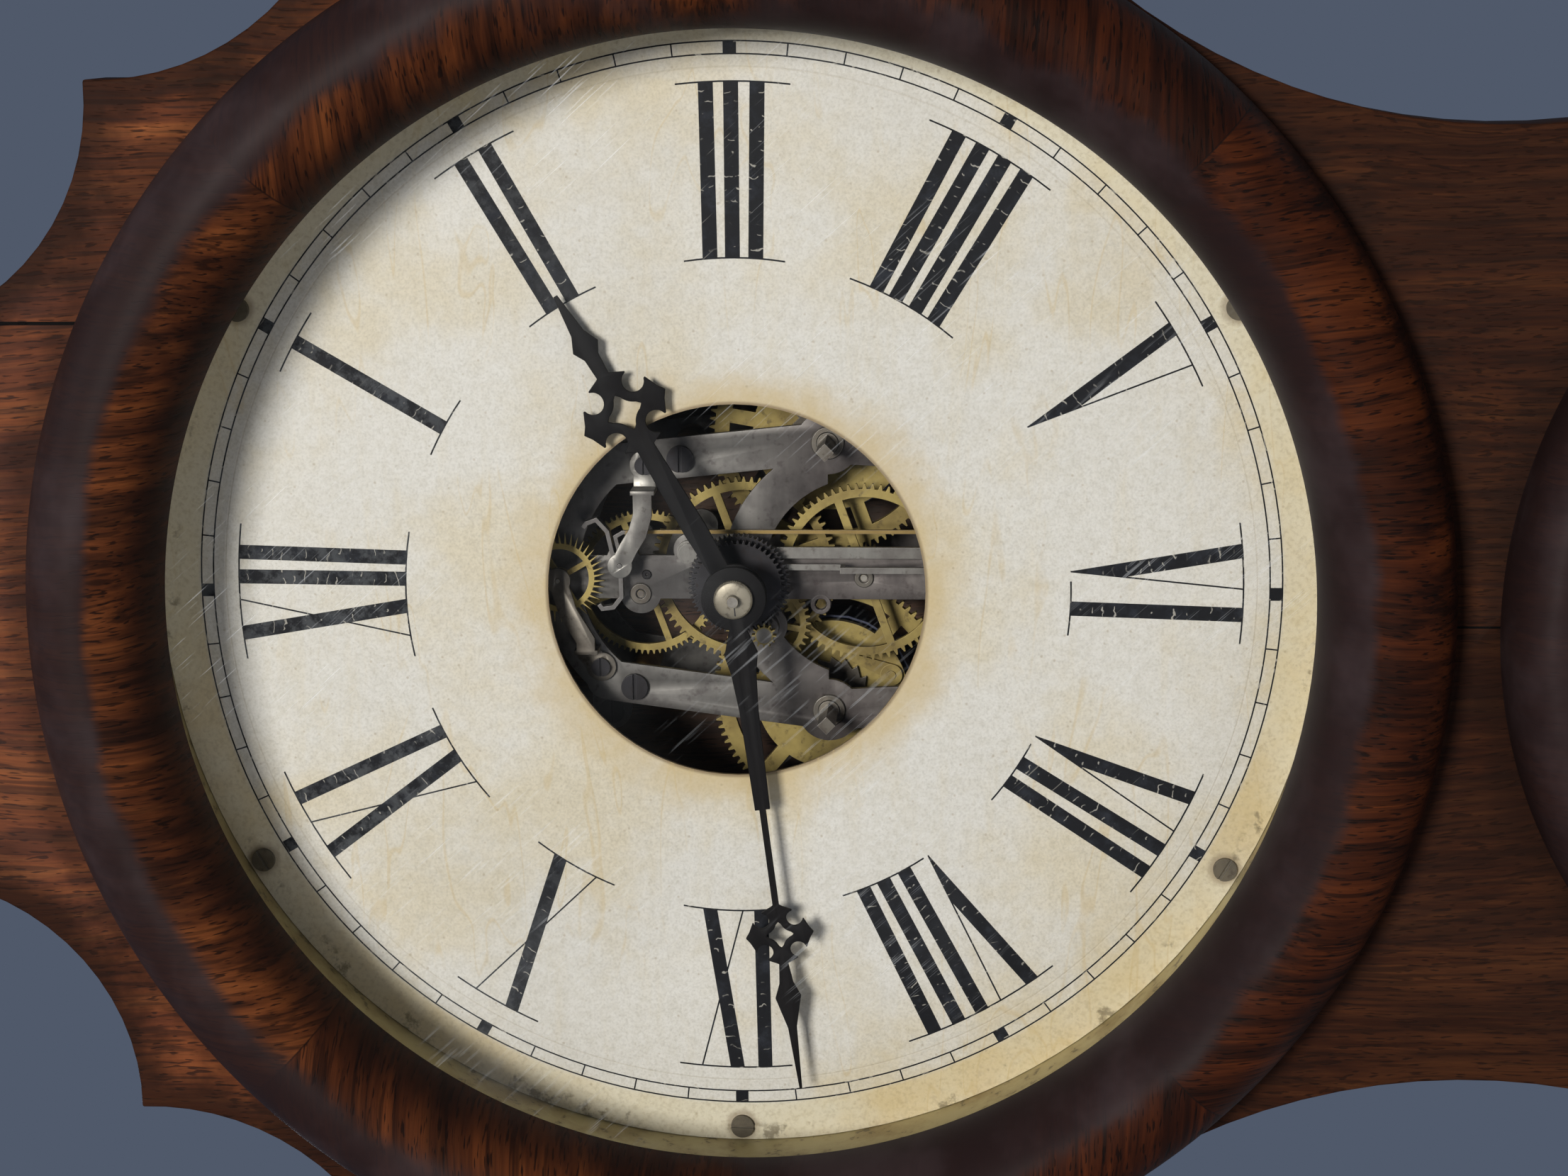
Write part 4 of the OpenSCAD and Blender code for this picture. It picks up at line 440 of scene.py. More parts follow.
# Old enamel: fine specks, a yellowed margin, and brown stain round the opening and the screws
def dialMaterial(name, centre, marginR, openR, outerR):
    material, tree, shader = startMaterial(name, {"Coat Weight": 0.1, "Coat Roughness": 0.4})
    point = fromCentre(tree, centre)
    x, _, z = split(tree, point)
    radius = axisDistance(tree, x, z)
    cloud = noise(tree, point, 22.0, 5.0, 0.62)
    mottle = noise(tree, point, 420.0, 4.0, 0.65)
    drag = noise(tree, stretched(tree, point, (26, 26, 150)), 1.0, 4.0, 0.6)
    grit = noise(tree, point, 1300.0, 3.0, 0.7)
    colour = mixTone(tree, step(tree, cloud, 0.42, 0.7), dialPaint["white"], dialPaint["warm"])
    colour = laid(tree, colour, dialPaint["warm"], step(tree, drag, 0.5, 0.75), 0.4)
    colour = darkened(tree, colour, mottle, 0.5, 0.3, 0.6, (0.8, 0.78, 0.72))
    colour = darkened(tree, colour, grit, 0.6, 0.32, 0.56, (0.72, 0.71, 0.68))
    # yellowed margin outside the minute track
    blotches = step(tree, noise(tree, point, 17.0, 4.0, 0.6), 0.38, 0.6)
    yellowing = times(tree, blotches, step(tree, x, 0.1, -0.06))
    aged = mixTone(tree, yellowing, dialPaint["margin"], dialPaint["yellow"])
    aged = darkened(tree, aged, noise(tree, point, 800.0, 4.0, 0.7), 0.8, 0.36, 0.52, (0.74, 0.7, 0.6))
    colour = laid(tree, colour, aged, step(tree, radius, (marginR - 1.5) * mm, (marginR + 1) * mm), 0.7)
    within = times(tree, step(tree, radius, (marginR - 20) * mm, marginR * mm), step(tree, cloud, 0.5, 0.66))
    colour = laid(tree, colour, dialPaint["yellow"], within, 0.28)
    # stain round the opening in the middle
    spread = minus(tree, radius, times(tree, noise(tree, point, 55.0, 4.0, 0.65), 0.022))
    ring = step(tree, spread, (openR + 4) * mm, (openR - 13) * mm)
    colour = laid(tree, colour, dialPaint["stain"], ring, 0.8)
    ring = step(tree, radius, (openR + 1.1) * mm, (openR + 0.2) * mm)
    colour = laid(tree, colour, dialPaint["dirt"], ring, 0.7)
    # tide marks that ran across it
    runs = noise(tree, stretched(tree, point, (13, 13, 70), move=(0.3, 0, 0.7)), 1.0, 2.0, 0.5, 0.6)
    rim = step(tree, calc(tree, "ABSOLUTE", minus(tree, runs, 0.56)), 0.012, 0.002)
    colour = laid(tree, colour, dialPaint["stain"], times(tree, rim, step(tree, cloud, 0.42, 0.6)), 0.35)
    # a faint press mark inside the track
    inside = minus(tree, radius, (marginR - dialPaint["creaseInset"]) * mm)
    crease = step(tree, calc(tree, "ABSOLUTE", inside), 0.0003, 0.0001)
    colour = laid(tree, colour, dialPaint["speck"], crease, 0.16)
    # rust round the screws, which lie alike in each quarter
    quarter = joined(tree, calc(tree, "ABSOLUTE", x), 0.0, calc(tree, "ABSOLUTE", z))
    screwR = (outerR - dialPaint["screwInset"]) * mm
    for degrees in dialPaint["screwsAt"]:
        a = math.radians(degrees)
        screw = (math.sin(a) * screwR, 0, math.cos(a) * screwR)
        halo = minus(tree, away(tree, quarter, screw), times(tree, mottle, 0.0018))
        colour = laid(tree, colour, dialPaint["rust"], step(tree, halo, 0.0044, 0.0024), 0.5)
    # chips and dirt at the outer edge
    chips = step(tree, noise(tree, point, 90.0, 5.0, 0.7), 0.56, 0.66)
    edge = times(tree, step(tree, radius, (outerR - 6) * mm, (outerR - 3) * mm), chips)
    colour = laid(tree, colour, dialPaint["edge"], edge, 0.7)
    specks = node(tree, "TexVoronoi", {"Vector": point, "Scale": 230.0}, feature="F1").outputs["Distance"]
    colour = laid(tree, colour, dialPaint["speck"], step(tree, specks, 0.11, 0.05), 0.35)
    rough = plus(tree, times(tree, mottle, 0.3), 0.38)
    finish(tree, shader, colour, rough, bump(tree, minus(tree, mottle, crease), 0.00008, 0.5))
    return material


ink = {
    "blueBlack": tone(19, 21, 26), "faded": tone(46, 50, 58), "paintedGlassVeil": tone(88, 91, 94),
    "bare": tone(168, 165, 156), "cracksPerMetre": 330, "scratchCells": (1500, 40, 60),
}


# Painted numerals, with short flaked cracks across their strokes and slanting scratches
def inkMaterial():
    material, tree, shader = startMaterial("dialInk", {"Specular IOR Level": 0.2})
    point = objectPoint(tree)
    wear = noise(tree, point, 150.0, 4.0, 0.65)
    colour = mixTone(tree, step(tree, wear, 0.46, 0.78), ink["blueBlack"], ink["faded"])
    x, _, z = split(tree, fromCentre(tree, timeCentre))
    # painted reflection of the glass in blotches, greying the ink towards the top of the dial
    blotches = step(tree, noise(tree, point, 240.0, 4.0, 0.7), 0.4, 0.62)
    paintedGlassVeil = times(tree, step(tree, z, 0.01, 0.1), blotches)
    colour = laid(tree, colour, ink["paintedGlassVeil"], paintedGlassVeil, 0.6)
    # cracks follow circles round the dial's centre, a little bent
    bend = times(tree, noise(tree, point, 260.0, 2.0), 1.6)
    circles = times(tree, axisDistance(tree, x, z), ink["cracksPerMetre"])
    turns = calc(tree, "FRACT", plus(tree, circles, bend))
    rings = calc(tree, "ABSOLUTE", minus(tree, turns, 0.5))
    thin = times(tree, step(tree, rings, 0.07, 0.02), step(tree, noise(tree, point, 520.0, 1.0), 0.54, 0.6))
    slant = slantingLines(tree, point, ink["scratchCells"])
    scratch = times(tree, step(tree, slant, 0.66, 0.72), step(tree, noise(tree, point, 30.0, 2.0), 0.5, 0.6))
    where = step(tree, noise(tree, point, 95.0, 3.0, 0.6), 0.38, 0.54)
    bare = calc(tree, "MAXIMUM", times(tree, thin, where), times(tree, scratch, 0.45))
    colour = mixTone(tree, bare, colour, ink["bare"])
    rough = plus(tree, times(tree, wear, 0.3), 0.45)
    finish(tree, shader, colour, rough, bump(tree, bare, 0.00003, 0.5))
    return material


# Metals: the tones are those of the clean, the dulled and the stained metal and of its worn edges
metals = {
    "plateSteel": {"tones": ((110, 108, 104), (88, 85, 83), (72, 65, 64), (190, 188, 182)),
                   "rough": 0.45, "metallic": 0.5, "brush": (60, 60, 900)},
    "wheelBrass": {"tones": ((172, 153, 90), (136, 118, 68), (88, 74, 46), (220, 200, 140)),
                   "rough": 0.42, "metallic": 0.45, "brush": (500, 500, 500),
                   "arbors": [(0, -32.8, 2.3), (-4.5, 27.2, 2.0), (0, 0, 2.2), (-13.3, -6.7, 2.0),
                              (0.5, 48.5, 1.5)]},
    "caseBrass": {"tones": ((158, 128, 74), (112, 88, 52), (72, 54, 34), (206, 178, 118)),
                  "rough": 0.42, "metallic": 0.8, "brush": (700, 60, 60)},
    "dialScrew": {"tones": ((112, 104, 88), (84, 77, 64), (70, 56, 42), (140, 134, 118)),
                  "rough": 0.5, "metallic": 0.3, "brush": (400, 400, 60)},
    "arborSteel": {"tones": ((120, 114, 104), (84, 78, 70), (64, 54, 46), (214, 212, 206)),
                   "rough": 0.34, "metallic": 0.6, "brush": (60, 700, 60)},
    "darkSteel": {"tones": ((50, 49, 52), (36, 34, 36), (40, 30, 26), (120, 118, 118)),
                  "rough": 0.42, "metallic": 0.7, "brush": (400, 400, 60)},
    "brightSteel": {"tones": ((140, 138, 132), (108, 104, 100), (84, 76, 70), (214, 212, 206)),
                    "rough": 0.36, "metallic": 0.55, "brush": (60, 60, 700)},
    "vergeSteel": {"tones": ((118, 115, 112), (88, 84, 82), (70, 62, 56), (190, 188, 182)),
                   "rough": 0.34, "metallic": 0.6, "brush": (60, 60, 700), "brassBelow": 30.6},
    "springSteel": {"tones": ((86, 92, 112), (58, 62, 78), (66, 50, 44), (130, 136, 150)),
                    "rough": 0.34, "metallic": 0.8, "brush": (80, 700, 80)},
    "nickel": {"tones": ((158, 151, 134), (112, 104, 88), (72, 62, 48), (232, 228, 216)),
               "rough": 0.4, "metallic": 0.55, "brush": (200, 200, 200)},
    "handPaint": {"tones": ((13, 12, 14), (21, 19, 20), (11, 9, 9), (50, 46, 44)),
                  "rough": 0.6, "metallic": 0.0, "gloss": 0.2, "brush": (500, 500, 60)},
}
arborTones = {"clean": tone(150, 146, 138), "dull": tone(96, 90, 84)}
crutchBrass = tone(150, 126, 76)


def metalMaterial(name):
    metal = metals[name]
    clean, dull, stained, worn = (tone(*shade) for shade in metal["tones"])
    fixed = {"Metallic": metal["metallic"], "Specular IOR Level": metal.get("gloss", 0.5)}
    material, tree, shader = startMaterial(name, fixed)
    point = objectPoint(tree)
    patina = noise(tree, point, 70.0, 5.0, 0.6)
    spots = noise(tree, point, 420.0, 4.0, 0.65)
    brushed = noise(tree, stretched(tree, point, metal["brush"]), 1.0, 3.0, 0.6)
    colour = mixTone(tree, step(tree, patina, 0.38, 0.66), clean, dull)
    colour = laid(tree, colour, stained, step(tree, spots, 0.54, 0.7), 0.6)
    colour = darkened(tree, colour, brushed, 0.35, 0.3, 0.65, (0.7, 0.7, 0.7))
    # steel arbors inside brass wheels
    for arborX, arborZ, r in metal.get("arbors", []):
        x, _, z = split(tree, point)
        axis = (arborX * mm, 0, arborZ * mm + timeCentre.z)
        near = step(tree, away(tree, joined(tree, x, 0.0, z), axis), (r + 0.1) * mm, r * mm)
        steel = mixTone(tree, step(tree, patina, 0.4, 0.6), arborTones["clean"], arborTones["dull"])
        colour = mixTone(tree, near, colour, steel)
    # the crutch wire is brass below the verge
    if "brassBelow" in metal:
        z = split(tree, point)[2]
        turnsBrass = metal["brassBelow"] + clock["timeZ"]
        low = step(tree, z, (turnsBrass + 0.5) * mm, (turnsBrass - 0.5) * mm)
        colour = mixTone(tree, low, colour, crutchBrass)
    colour = laid(tree, colour, worn, wornEdge(tree, 0.00018), 0.7)
    dulled = times(tree, step(tree, patina, 0.4, 0.7), 0.16)
    rough = plus(tree, plus(tree, dulled, times(tree, brushed, 0.14)), metal["rough"] - 0.05)
    relief = plus(tree, times(tree, brushed, 0.6), times(tree, spots, 0.4))
    finish(tree, shader, colour, rough, bump(tree, relief, 0.00003, 0.5, roundedNormal(tree, 0.00015)))
    return material


# The front plate turns purplish and duller between these heights over the dial's centre
plateTint = {"from": 8, "to": -26, "most": 0.62, "tint": (0.64, 0.54, 0.55, 1)}


def plateMaterial():
    material = metalMaterial("plateSteel")
    tree = material.node_tree
    base = shaderOf(tree).inputs["Base Color"]
    colour = base.links[0].from_socket
    z = split(tree, objectPoint(tree))[2]
    low = step(tree, z, (clock["timeZ"] + plateTint["from"]) * mm, (clock["timeZ"] + plateTint["to"]) * mm)
    tree.links.new(laid(tree, colour, plateTint["tint"], low, plateTint["most"], "MULTIPLY"), base)
    return material


bandPaint = {"cream": tone(174, 160, 114), "brown": tone(146, 128, 84), "chip": tone(92, 82, 58)}
putty = {"pale": tone(150, 132, 100), "dark": tone(108, 92, 68)}
paper = {"cream": tone(214, 204, 178), "brown": tone(184, 166, 124)}


def bandMaterial():
    material, tree, shader = startMaterial("bandPaint", {"Coat Weight": 0.1})
    point = objectPoint(tree)
    patch = noise(tree, point, 60.0, 5.0, 0.65)
    chips = noise(tree, point, 240.0, 5.0, 0.7)
    colour = mixTone(tree, step(tree, patch, 0.4, 0.65), bandPaint["cream"], bandPaint["brown"])
    colour = laid(tree, colour, bandPaint["chip"], step(tree, chips, 0.58, 0.66), 0.75)
    rough = plus(tree, times(tree, patch, 0.3), 0.4)
    finish(tree, shader, colour, rough, bump(tree, chips, 0.0001, 0.6))
    return material


def puttyMaterial():
    material, tree, shader = startMaterial("driedPutty", {})
    lumps = noise(tree, objectPoint(tree), 300.0, 5.0, 0.7)
    colour = mixTone(tree, step(tree, lumps, 0.35, 0.7), putty["pale"], putty["dark"])
    rough = plus(tree, times(tree, lumps, 0.3), 0.6)
    finish(tree, shader, colour, rough, bump(tree, lumps, 0.0003, 0.8))
    return material


def paperMaterial():
    material, tree, shader = startMaterial("rollerPaper", {})
    point = objectPoint(tree)
    blot = noise(tree, point, 90.0, 5.0, 0.65)
    fine = noise(tree, point, 700.0, 3.0, 0.6)
    colour = mixTone(tree, step(tree, blot, 0.42, 0.7), paper["cream"], paper["brown"])
    colour = darkened(tree, colour, fine, 0.3, 0.3, 0.6, (0.8, 0.78, 0.72))
    rough = plus(tree, times(tree, fine, 0.2), 0.6)
    finish(tree, shader, colour, rough, bump(tree, fine, 0.00008, 0.6))
    return material


# Window glass: nearly clear, with fine slanting scratches where it was wiped
windowGlass = {
    "scratchCells": (2200, 30, 45), "scratchAlpha": 0.17, "hazeAlpha": 0.035, "sheen": 0.4, "least": 0.01,
    "clear": (0.02, 0.022, 0.022, 1), "scratched": (0.75, 0.78, 0.8, 1),
}


def glassMaterial():
    material, tree, shader = startMaterial("dialGlass", {"IOR": 1.5})
    point = objectPoint(tree)
    slant = slantingLines(tree, point, windowGlass["scratchCells"])
    where = step(tree, noise(tree, point, 14.0, 2.0), 0.44, 0.64)
    scratch = times(tree, step(tree, slant, 0.61, 0.7), where)
    haze = times(tree, step(tree, noise(tree, point, 9.0, 3.0), 0.48, 0.72), windowGlass["hazeAlpha"])
    sheen = times(tree, node(tree, "Fresnel", {"IOR": 1.45}).outputs[0], windowGlass["sheen"])
    white = plus(tree, times(tree, scratch, windowGlass["scratchAlpha"]), haze)
    alpha = calc(tree, "ADD", white, plus(tree, sheen, windowGlass["least"]), clamp=True)
    tree.links.new(alpha, shader.inputs["Alpha"])
    colour = mixTone(tree, step(tree, white, 0.0, 0.06), windowGlass["clear"], windowGlass["scratched"])
    rough = plus(tree, times(tree, scratch, 0.4), 0.08)
    finish(tree, shader, colour, rough)
    return material


# Materials, with the radii of each bezel's lip, crest and edge and of each dial's margin, opening and edge
look = {
    "panel": panelMaterial(),
    "timeBezel": bezelMaterial("timeBezelWood", timeCentre, 145, 162, 178.5),
    "calendarBezel": bezelMaterial("calendarBezelWood", calendarCentre, 94.2, 119.2, 130.2),
    "case": caseMaterial("stainedCase", 0.1), "inside": caseMaterial("dustyInside", 0.25),
    "timeDial": dialMaterial("timeDialEnamel", timeCentre, 142, clock["holeR"], clock["timeDialR"]),
    "calendarDial": dialMaterial("calendarDialEnamel", calendarCentre, 93, 4, clock["calendarDialR"]),
    "ink": inkMaterial(), "plate": plateMaterial(), "band": bandMaterial(), "putty": puttyMaterial(),
    "paper": paperMaterial(), "glass": glassMaterial(),
    **{name: metalMaterial(name) for name in metals if name != "plateSteel"},
}
wearers = {
    "panel": ["front_panel"], "timeBezel": ["time_bezel"], "calendarBezel": ["calendar_bezel"],
    "case": ["box_sides", "box_ends", "dial_rings"], "inside": ["back_board"],
    "timeDial": ["time_dial"], "calendarDial": ["calendar_dial"], "band": ["dial_bands"],
    "putty": ["time_putty", "calendar_putty"], "glass": ["time_glass", "calendar_glass"],
    "paper": ["weekday_roller", "month_roller"], "plate": ["front_plate", "back_plate"],
    "wheelBrass": ["left_great_wheel", "right_great_wheel", "left_click", "right_click", "second_wheel",
                   "centre_wheel", "third_wheel", "escape_wheel", "minute_wheel", "date_wheel",
                   "pendulum_bob", "rating_nut"],
    "vergeSteel": ["verge"],
    "caseBrass": ["hanger_plate", "case_hinge_leaves", "time_hinge_leaves", "calendar_hinge_leaves",
                  "time_catch_stud", "calendar_catch_stud", "catch_clips", "pillars", "mounting_posts",
                  "rod_guide"],
    "darkSteel": ["case_screws", "plate_screws", "hour_wheel", "day_wheel"],
    "dialScrew": ["dial_screws"],
    "arborSteel": ["left_winding_arbor", "right_winding_arbor", "escape_bridge"],
    "brightSteel": ["verge_cock", "suspension_post", "pendulum_rod", "calendar_rod", "calendar_frame"],
    "springSteel": ["left_mainspring", "right_mainspring"], "nickel": ["hand_nut"],
    "handPaint": ["hour_hand", "minute_hand", "date_hand"],
}
for name, members in wearers.items():
    for member in members:
        slots = cadNodes[member].data.materials
        for i in range(len(slots)):
            slots[i] = look[name]
print("materials made")


# Making pieces
sameSpot = 1e-7
rounding = {"merge": 2e-6, "flatDegrees": 0.6, "creaseDegrees": 30, "segments": 2, "shadeDegrees": 40}


def meshFrom(name, bm):
    mesh = bpy.data.meshes.new(name)
    bm.to_mesh(mesh)
    bm.free()
    return mesh


def addPiece(name, bm, material, body, crease=35, replaced=()):
    mesh = meshFrom(name, bm)
    mesh.polygons.foreach_set("use_smooth", [True] * len(mesh.polygons))
    mesh.set_sharp_from_angle(angle=math.radians(crease))
    mesh.materials.append(material)
    piece = addObject(name, mesh)
    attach(piece, body)
    if replaced:
        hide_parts(*replaced)
    return piece


# A closed profile of (radius, y) pairs, in millimetres, turned round the dial's axis
def turn(bm, profile, centre, steps):
    ring = [bm.verts.new(Vector((r, y, 0)) * mm + centre) for r, y in profile]
    edges = [bm.edges.new((a, b)) for a, b in zip(ring, ring[1:] + ring[:1])]
    bmesh.ops.spin(bm, geom=ring + edges, cent=centre, axis=(0, 1, 0), dvec=(0, 0, 0), angle=math.tau,
                   steps=steps, use_merge=True)
    bmesh.ops.remove_doubles(bm, verts=bm.verts, dist=sameSpot)
    bmesh.ops.recalc_face_normals(bm, faces=bm.faces)


# A flat shape of (x, z) pairs, in millimetres, given its thickness from back to front
def slab(bm, shape, back, front):
    corners = [bm.verts.new((x * mm, back * mm, z * mm)) for x, z in shape]
    face = bm.faces.new(corners)
    raised = bmesh.ops.extrude_face_region(bm, geom=[face])
    moved = [part for part in raised["geom"] if isinstance(part, bmesh.types.BMVert)]
    bmesh.ops.translate(bm, verts=moved, vec=(0, (front - back) * mm, 0))


# A copy of a CAD node with its sharp edges rounded
def softened(nodeName, name, width, material, body):
    bm = bmesh.new()
    bm.from_mesh(cadNodes[nodeName].data)
    bmesh.ops.remove_doubles(bm, verts=bm.verts, dist=rounding["merge"])
    flat, least = math.radians(rounding["flatDegrees"]), math.radians(rounding["creaseDegrees"])
    bmesh.ops.dissolve_limit(bm, angle_limit=flat, verts=bm.verts, edges=bm.edges)
    sharp = [e for e in bm.edges if e.is_manifold and e.calc_face_angle(0) > least]
    bmesh.ops.bevel(bm, geom=sharp, offset=width * mm, offset_type="OFFSET", affect="EDGES",
                    segments=rounding["segments"], profile=0.5, material=-1, clamp_overlap=True)
    return addPiece(name, bm, material, body, rounding["shadeDegrees"], (nodeName,))


# Bezels: smooth turned mouldings. The time door hangs a little low, as in the photograph.
# The form is the lip's radius, the moulding's width and height, and how far its crest stands from the lip.
bezels = {
    "time": {"centre": timeCentre + Vector((0, 0, -1.8)) * mm, "form": (145, 33.5, 23, 17)},
    "calendar": {"centre": calendarCentre, "form": (94.2, 36, 19, 25)},
}
moulding = {"offPanel": 0.15, "lipThick": 1.5, "edgeHigh": 3.5, "steps": 24, "round": 288, "shadeDegrees": 50}


def bezelProfile(lip, wide, high, slope):
    lipThick, edgeHigh, steps = moulding["lipThick"], moulding["edgeHigh"], moulding["steps"]
    back, crest = clock["bezelY"] - moulding["offPanel"], lip + slope
    points = [(lip, back)]
    for i in range(steps + 1):
        a = math.pi / 2 * i / steps
        points.append((crest - slope * math.cos(a), clock["bezelY"] - lipThick - high * math.sin(a)))
    for i in range(steps - 1, -1, -1):
        a = math.pi / 2 * i / steps
        rise = lipThick + high - edgeHigh
        points.append((crest + (wide - slope) * math.cos(a), clock["bezelY"] - edgeHigh - rise * math.sin(a)))
    points.append((lip + wide, back))
    return points


for name, bezel in bezels.items():
    bm = bmesh.new()
    turn(bm, bezelProfile(*bezel["form"]), bezel["centre"], moulding["round"])
    addPiece(name + "BezelMoulding", bm, look[name + "Bezel"], name + "_door",
             moulding["shadeDegrees"], (name + "_bezel",))
softened("front_panel", "scallopedPanel", 0.8, look["panel"], "case")
print("bezels and panel made")


# Time dial: numerals, measured upright at each hour, and the minute track
numerals = {
    "outer": 131.6, "inner": 87.2, "thick": 3.8, "thin": 0.42, "sunk": 0.01, "lift": 0.06, "thinLift": 0.04,
    "serifLift": 0.05, "serifSteps": 8, "veeMeets": 101, "veeTip": 0.1, "shadeDegrees": 30,
    "hours": {
        1: {"bars": [(0.05, -0.35)], "serifs": (-8.8, 8.9, -8.3, 8.2)},
        2: {"bars": [(-3.8, -3.3), (3.4, 2.8)], "serifs": (-12, 11.9, -10.7, 9.5)},
        3: {"bars": [(-6.2, -5.6), (0.2, 0.15), (6.9, 6.1)], "serifs": (-13.9, 15.3, -12.3, 13.6)},
        4: {"bars": [(-9.1, -7.6), (-2.4, -2.2), (4, 3.6), (10.6, 9.2)], "serifs": (-17.3, 18, -14.9, 15.5)},
        5: {"vee": (-3.6, 0, 7.0), "serifs": (-11.9, 13.1, 0, 0)},
        6: {"vee": (-11.4, -5.8, -1.3), "bars": [(5.5, 4.0)], "serifs": (-18.8, 13.2, -3.2, 11.2)},
        7: {"vee": (-12.3, -6, -2.1), "bars": [(4, 2.3), (11.2, 8.2)], "serifs": (-19.4, 18.1, -3.6, 14.9)},
        8: {"vee": (-14.7, -7.9, -4.7), "bars": [(1.1, -0.3), (8.1, 5.9), (15.2, 11.7)],
            "serifs": (-21.6, 22.6, -6.5, 17.5)},
        9: {"bars": [(-6.4, -5.7)], "cross": (1.1, 8.0, 10.7, -0.8), "serifs": (-13.7, 16.8, -11.5, 15.1)},
        10: {"cross": (-3.8, 5.2, 7.3, -5.8), "serifs": (-11.8, 13.2, -11.1, 12.4)},
        11: {"cross": (-7.1, -1.3, 2.5, -10), "bars": [(9.9, 6.2)], "serifs": (-16.2, 17.9, -15.4, 13.1)},
        12: {"cross": (-11.6, -4.1, -2.5, -12.1), "bars": [(3.7, 3.2), (10.3, 8.9)],
             "serifs": (-18.6, 17.9, -17.7, 15.8)},
    },
}
track = {"inner": 138.4, "outer": 141.6, "line": 0.38, "block": 3.4, "marks": 60, "bold": 5}
trackRelief = {"sunk": 0.01, "ring": 0.045, "mark": 0.035, "bold": 0.06, "steps": 240}


# A shape drawn upright, turned to its hour
def placed(hour, shape, centreZ):
    a = math.radians(hour * 30)
    sin, cos = math.sin(a), math.cos(a)
    return [(x * cos + up * sin, up * cos - x * sin + centreZ) for x, up in shape]


def onArc(r, x):
    return (x, math.sqrt(r * r - x * x))


def stroke(outerX, innerX, width):
    half, outer, inner = width / 2, numerals["outer"], numerals["inner"]
    corners = [(inner, innerX - half), (outer, outerX - half), (outer, outerX + half), (inner, innerX + half)]
    return [onArc(r, x) for r, x in corners]


def serif(r, left, right):
    half, steps = numerals["thin"] / 2, numerals["serifSteps"]
    xs = [left + (right - left) * i / steps for i in range(steps + 1)]
    return [onArc(r + half, x) for x in xs] + [onArc(r - half, x) for x in reversed(xs)]


def makeNumerals():
    bm = bmesh.new()
    outer, inner, thick, thin = (numerals[size] for size in ("outer", "inner", "thick", "thin"))

    def drawn(hour, shape, lift):
        shape = placed(hour, shape, clock["timeZ"])
        slab(bm, shape, clock["dialY"] + numerals["sunk"], clock["dialY"] - lift)

    for hour, parts in numerals["hours"].items():
        for bar in parts.get("bars", []):
            drawn(hour, stroke(*bar, thick), numerals["lift"])
        if "cross" in parts:
            thickOuter, thickInner, thinOuter, thinInner = parts["cross"]
            drawn(hour, stroke(thickOuter, thickInner, thick), numerals["lift"])
            drawn(hour, stroke(thinOuter, thinInner, thin), numerals["thinLift"])
        if "vee" in parts:
            thickOuter, apex, thinOuter = parts["vee"]
            half, meet, tip = thick / 2, numerals["veeMeets"], numerals["veeTip"]
            meetX = apex + (thinOuter - apex) * (meet - inner) / (outer - inner)
            wedge = [onArc(inner, apex - tip), onArc(outer, thickOuter - half),
                     onArc(outer, thickOuter + half), (meetX, meet), onArc(inner, apex + tip)]
            drawn(hour, wedge, numerals["lift"])
            drawn(hour, stroke(thinOuter, apex, thin), numerals["thinLift"])
        outerLeft, outerRight, innerLeft, innerRight = parts["serifs"]
        drawn(hour, serif(outer, outerLeft, outerRight), numerals["serifLift"])
        if innerRight > innerLeft:
            drawn(hour, serif(inner, innerLeft, innerRight), numerals["serifLift"])
    bmesh.ops.recalc_face_normals(bm, faces=bm.faces)
    addPiece("dialNumerals", bm, look["ink"], "case", numerals["shadeDegrees"])


# Two rings and the marks between them, of which each bold one is a block
def makeTrack(name, centre, inner, outer, line, block, marks, bold):
    bm = bmesh.new()
    back, front = clock["dialY"] + trackRelief["sunk"], clock["dialY"] - trackRelief["ring"]
    for r in (inner, outer):
        near, far = r - line / 2, r + line / 2
        turn(bm, [(near, back), (near, front), (far, front), (far, back)], centre, trackRelief["steps"])
    for i in range(marks):
        kind, wide = ("bold", block) if i % bold == 0 else ("mark", line)
        shape = [(-wide / 2, inner), (-wide / 2, outer), (wide / 2, outer), (wide / 2, inner)]
        slab(bm, placed(i * 12 / marks, shape, centre.z / mm), back, clock["dialY"] - trackRelief[kind])
    bmesh.ops.recalc_face_normals(bm, faces=bm.faces)
    addPiece(name, bm, look["ink"], "case", numerals["shadeDegrees"])


makeNumerals()
makeTrack("minuteTrack", timeCentre, *track.values())
print("dial drawn")

# Hands: the minute hand is shortened past its shoulder, so that its tip ends at the track's inner line
hands = {"edge": 0.12, "shoulder": 57, "shorter": 0.964}
paint = look["handPaint"]
softened("hour_hand", "hourHandPlate", hands["edge"], paint, "hour_pipe")
longHand = softened("minute_hand", "minuteHandPlate", hands["edge"], paint, "centre_arbor")
for vert in longHand.data.vertices:
    reach = Vector((vert.co.x, 0, vert.co.z)) - timeCentre
    extra = reach.length - hands["shoulder"] * mm
    if extra > 0:
        vert.co -= reach.normalized() * extra * (1 - hands["shorter"])

# Knurled nut, with a dark sheet on its face for the painted shade in its slot
nut = {
    "hole": 1.55, "flatR": 3.9, "coneR": 4.6, "rimFrom": 5.05, "r": 5.1,
    "back": -81.02, "edge": -82.4, "cone": -82.85, "face": -83.1, "notch": 0.16, "teeth": 64,
    "slot": [(-4.1, -0.75), (-1.6, -0.5), (-1.6, -0.2), (-4.1, -0.4)],
    "slotSunk": 0.1, "slotLift": 0.02, "shadeDegrees": 25,
}


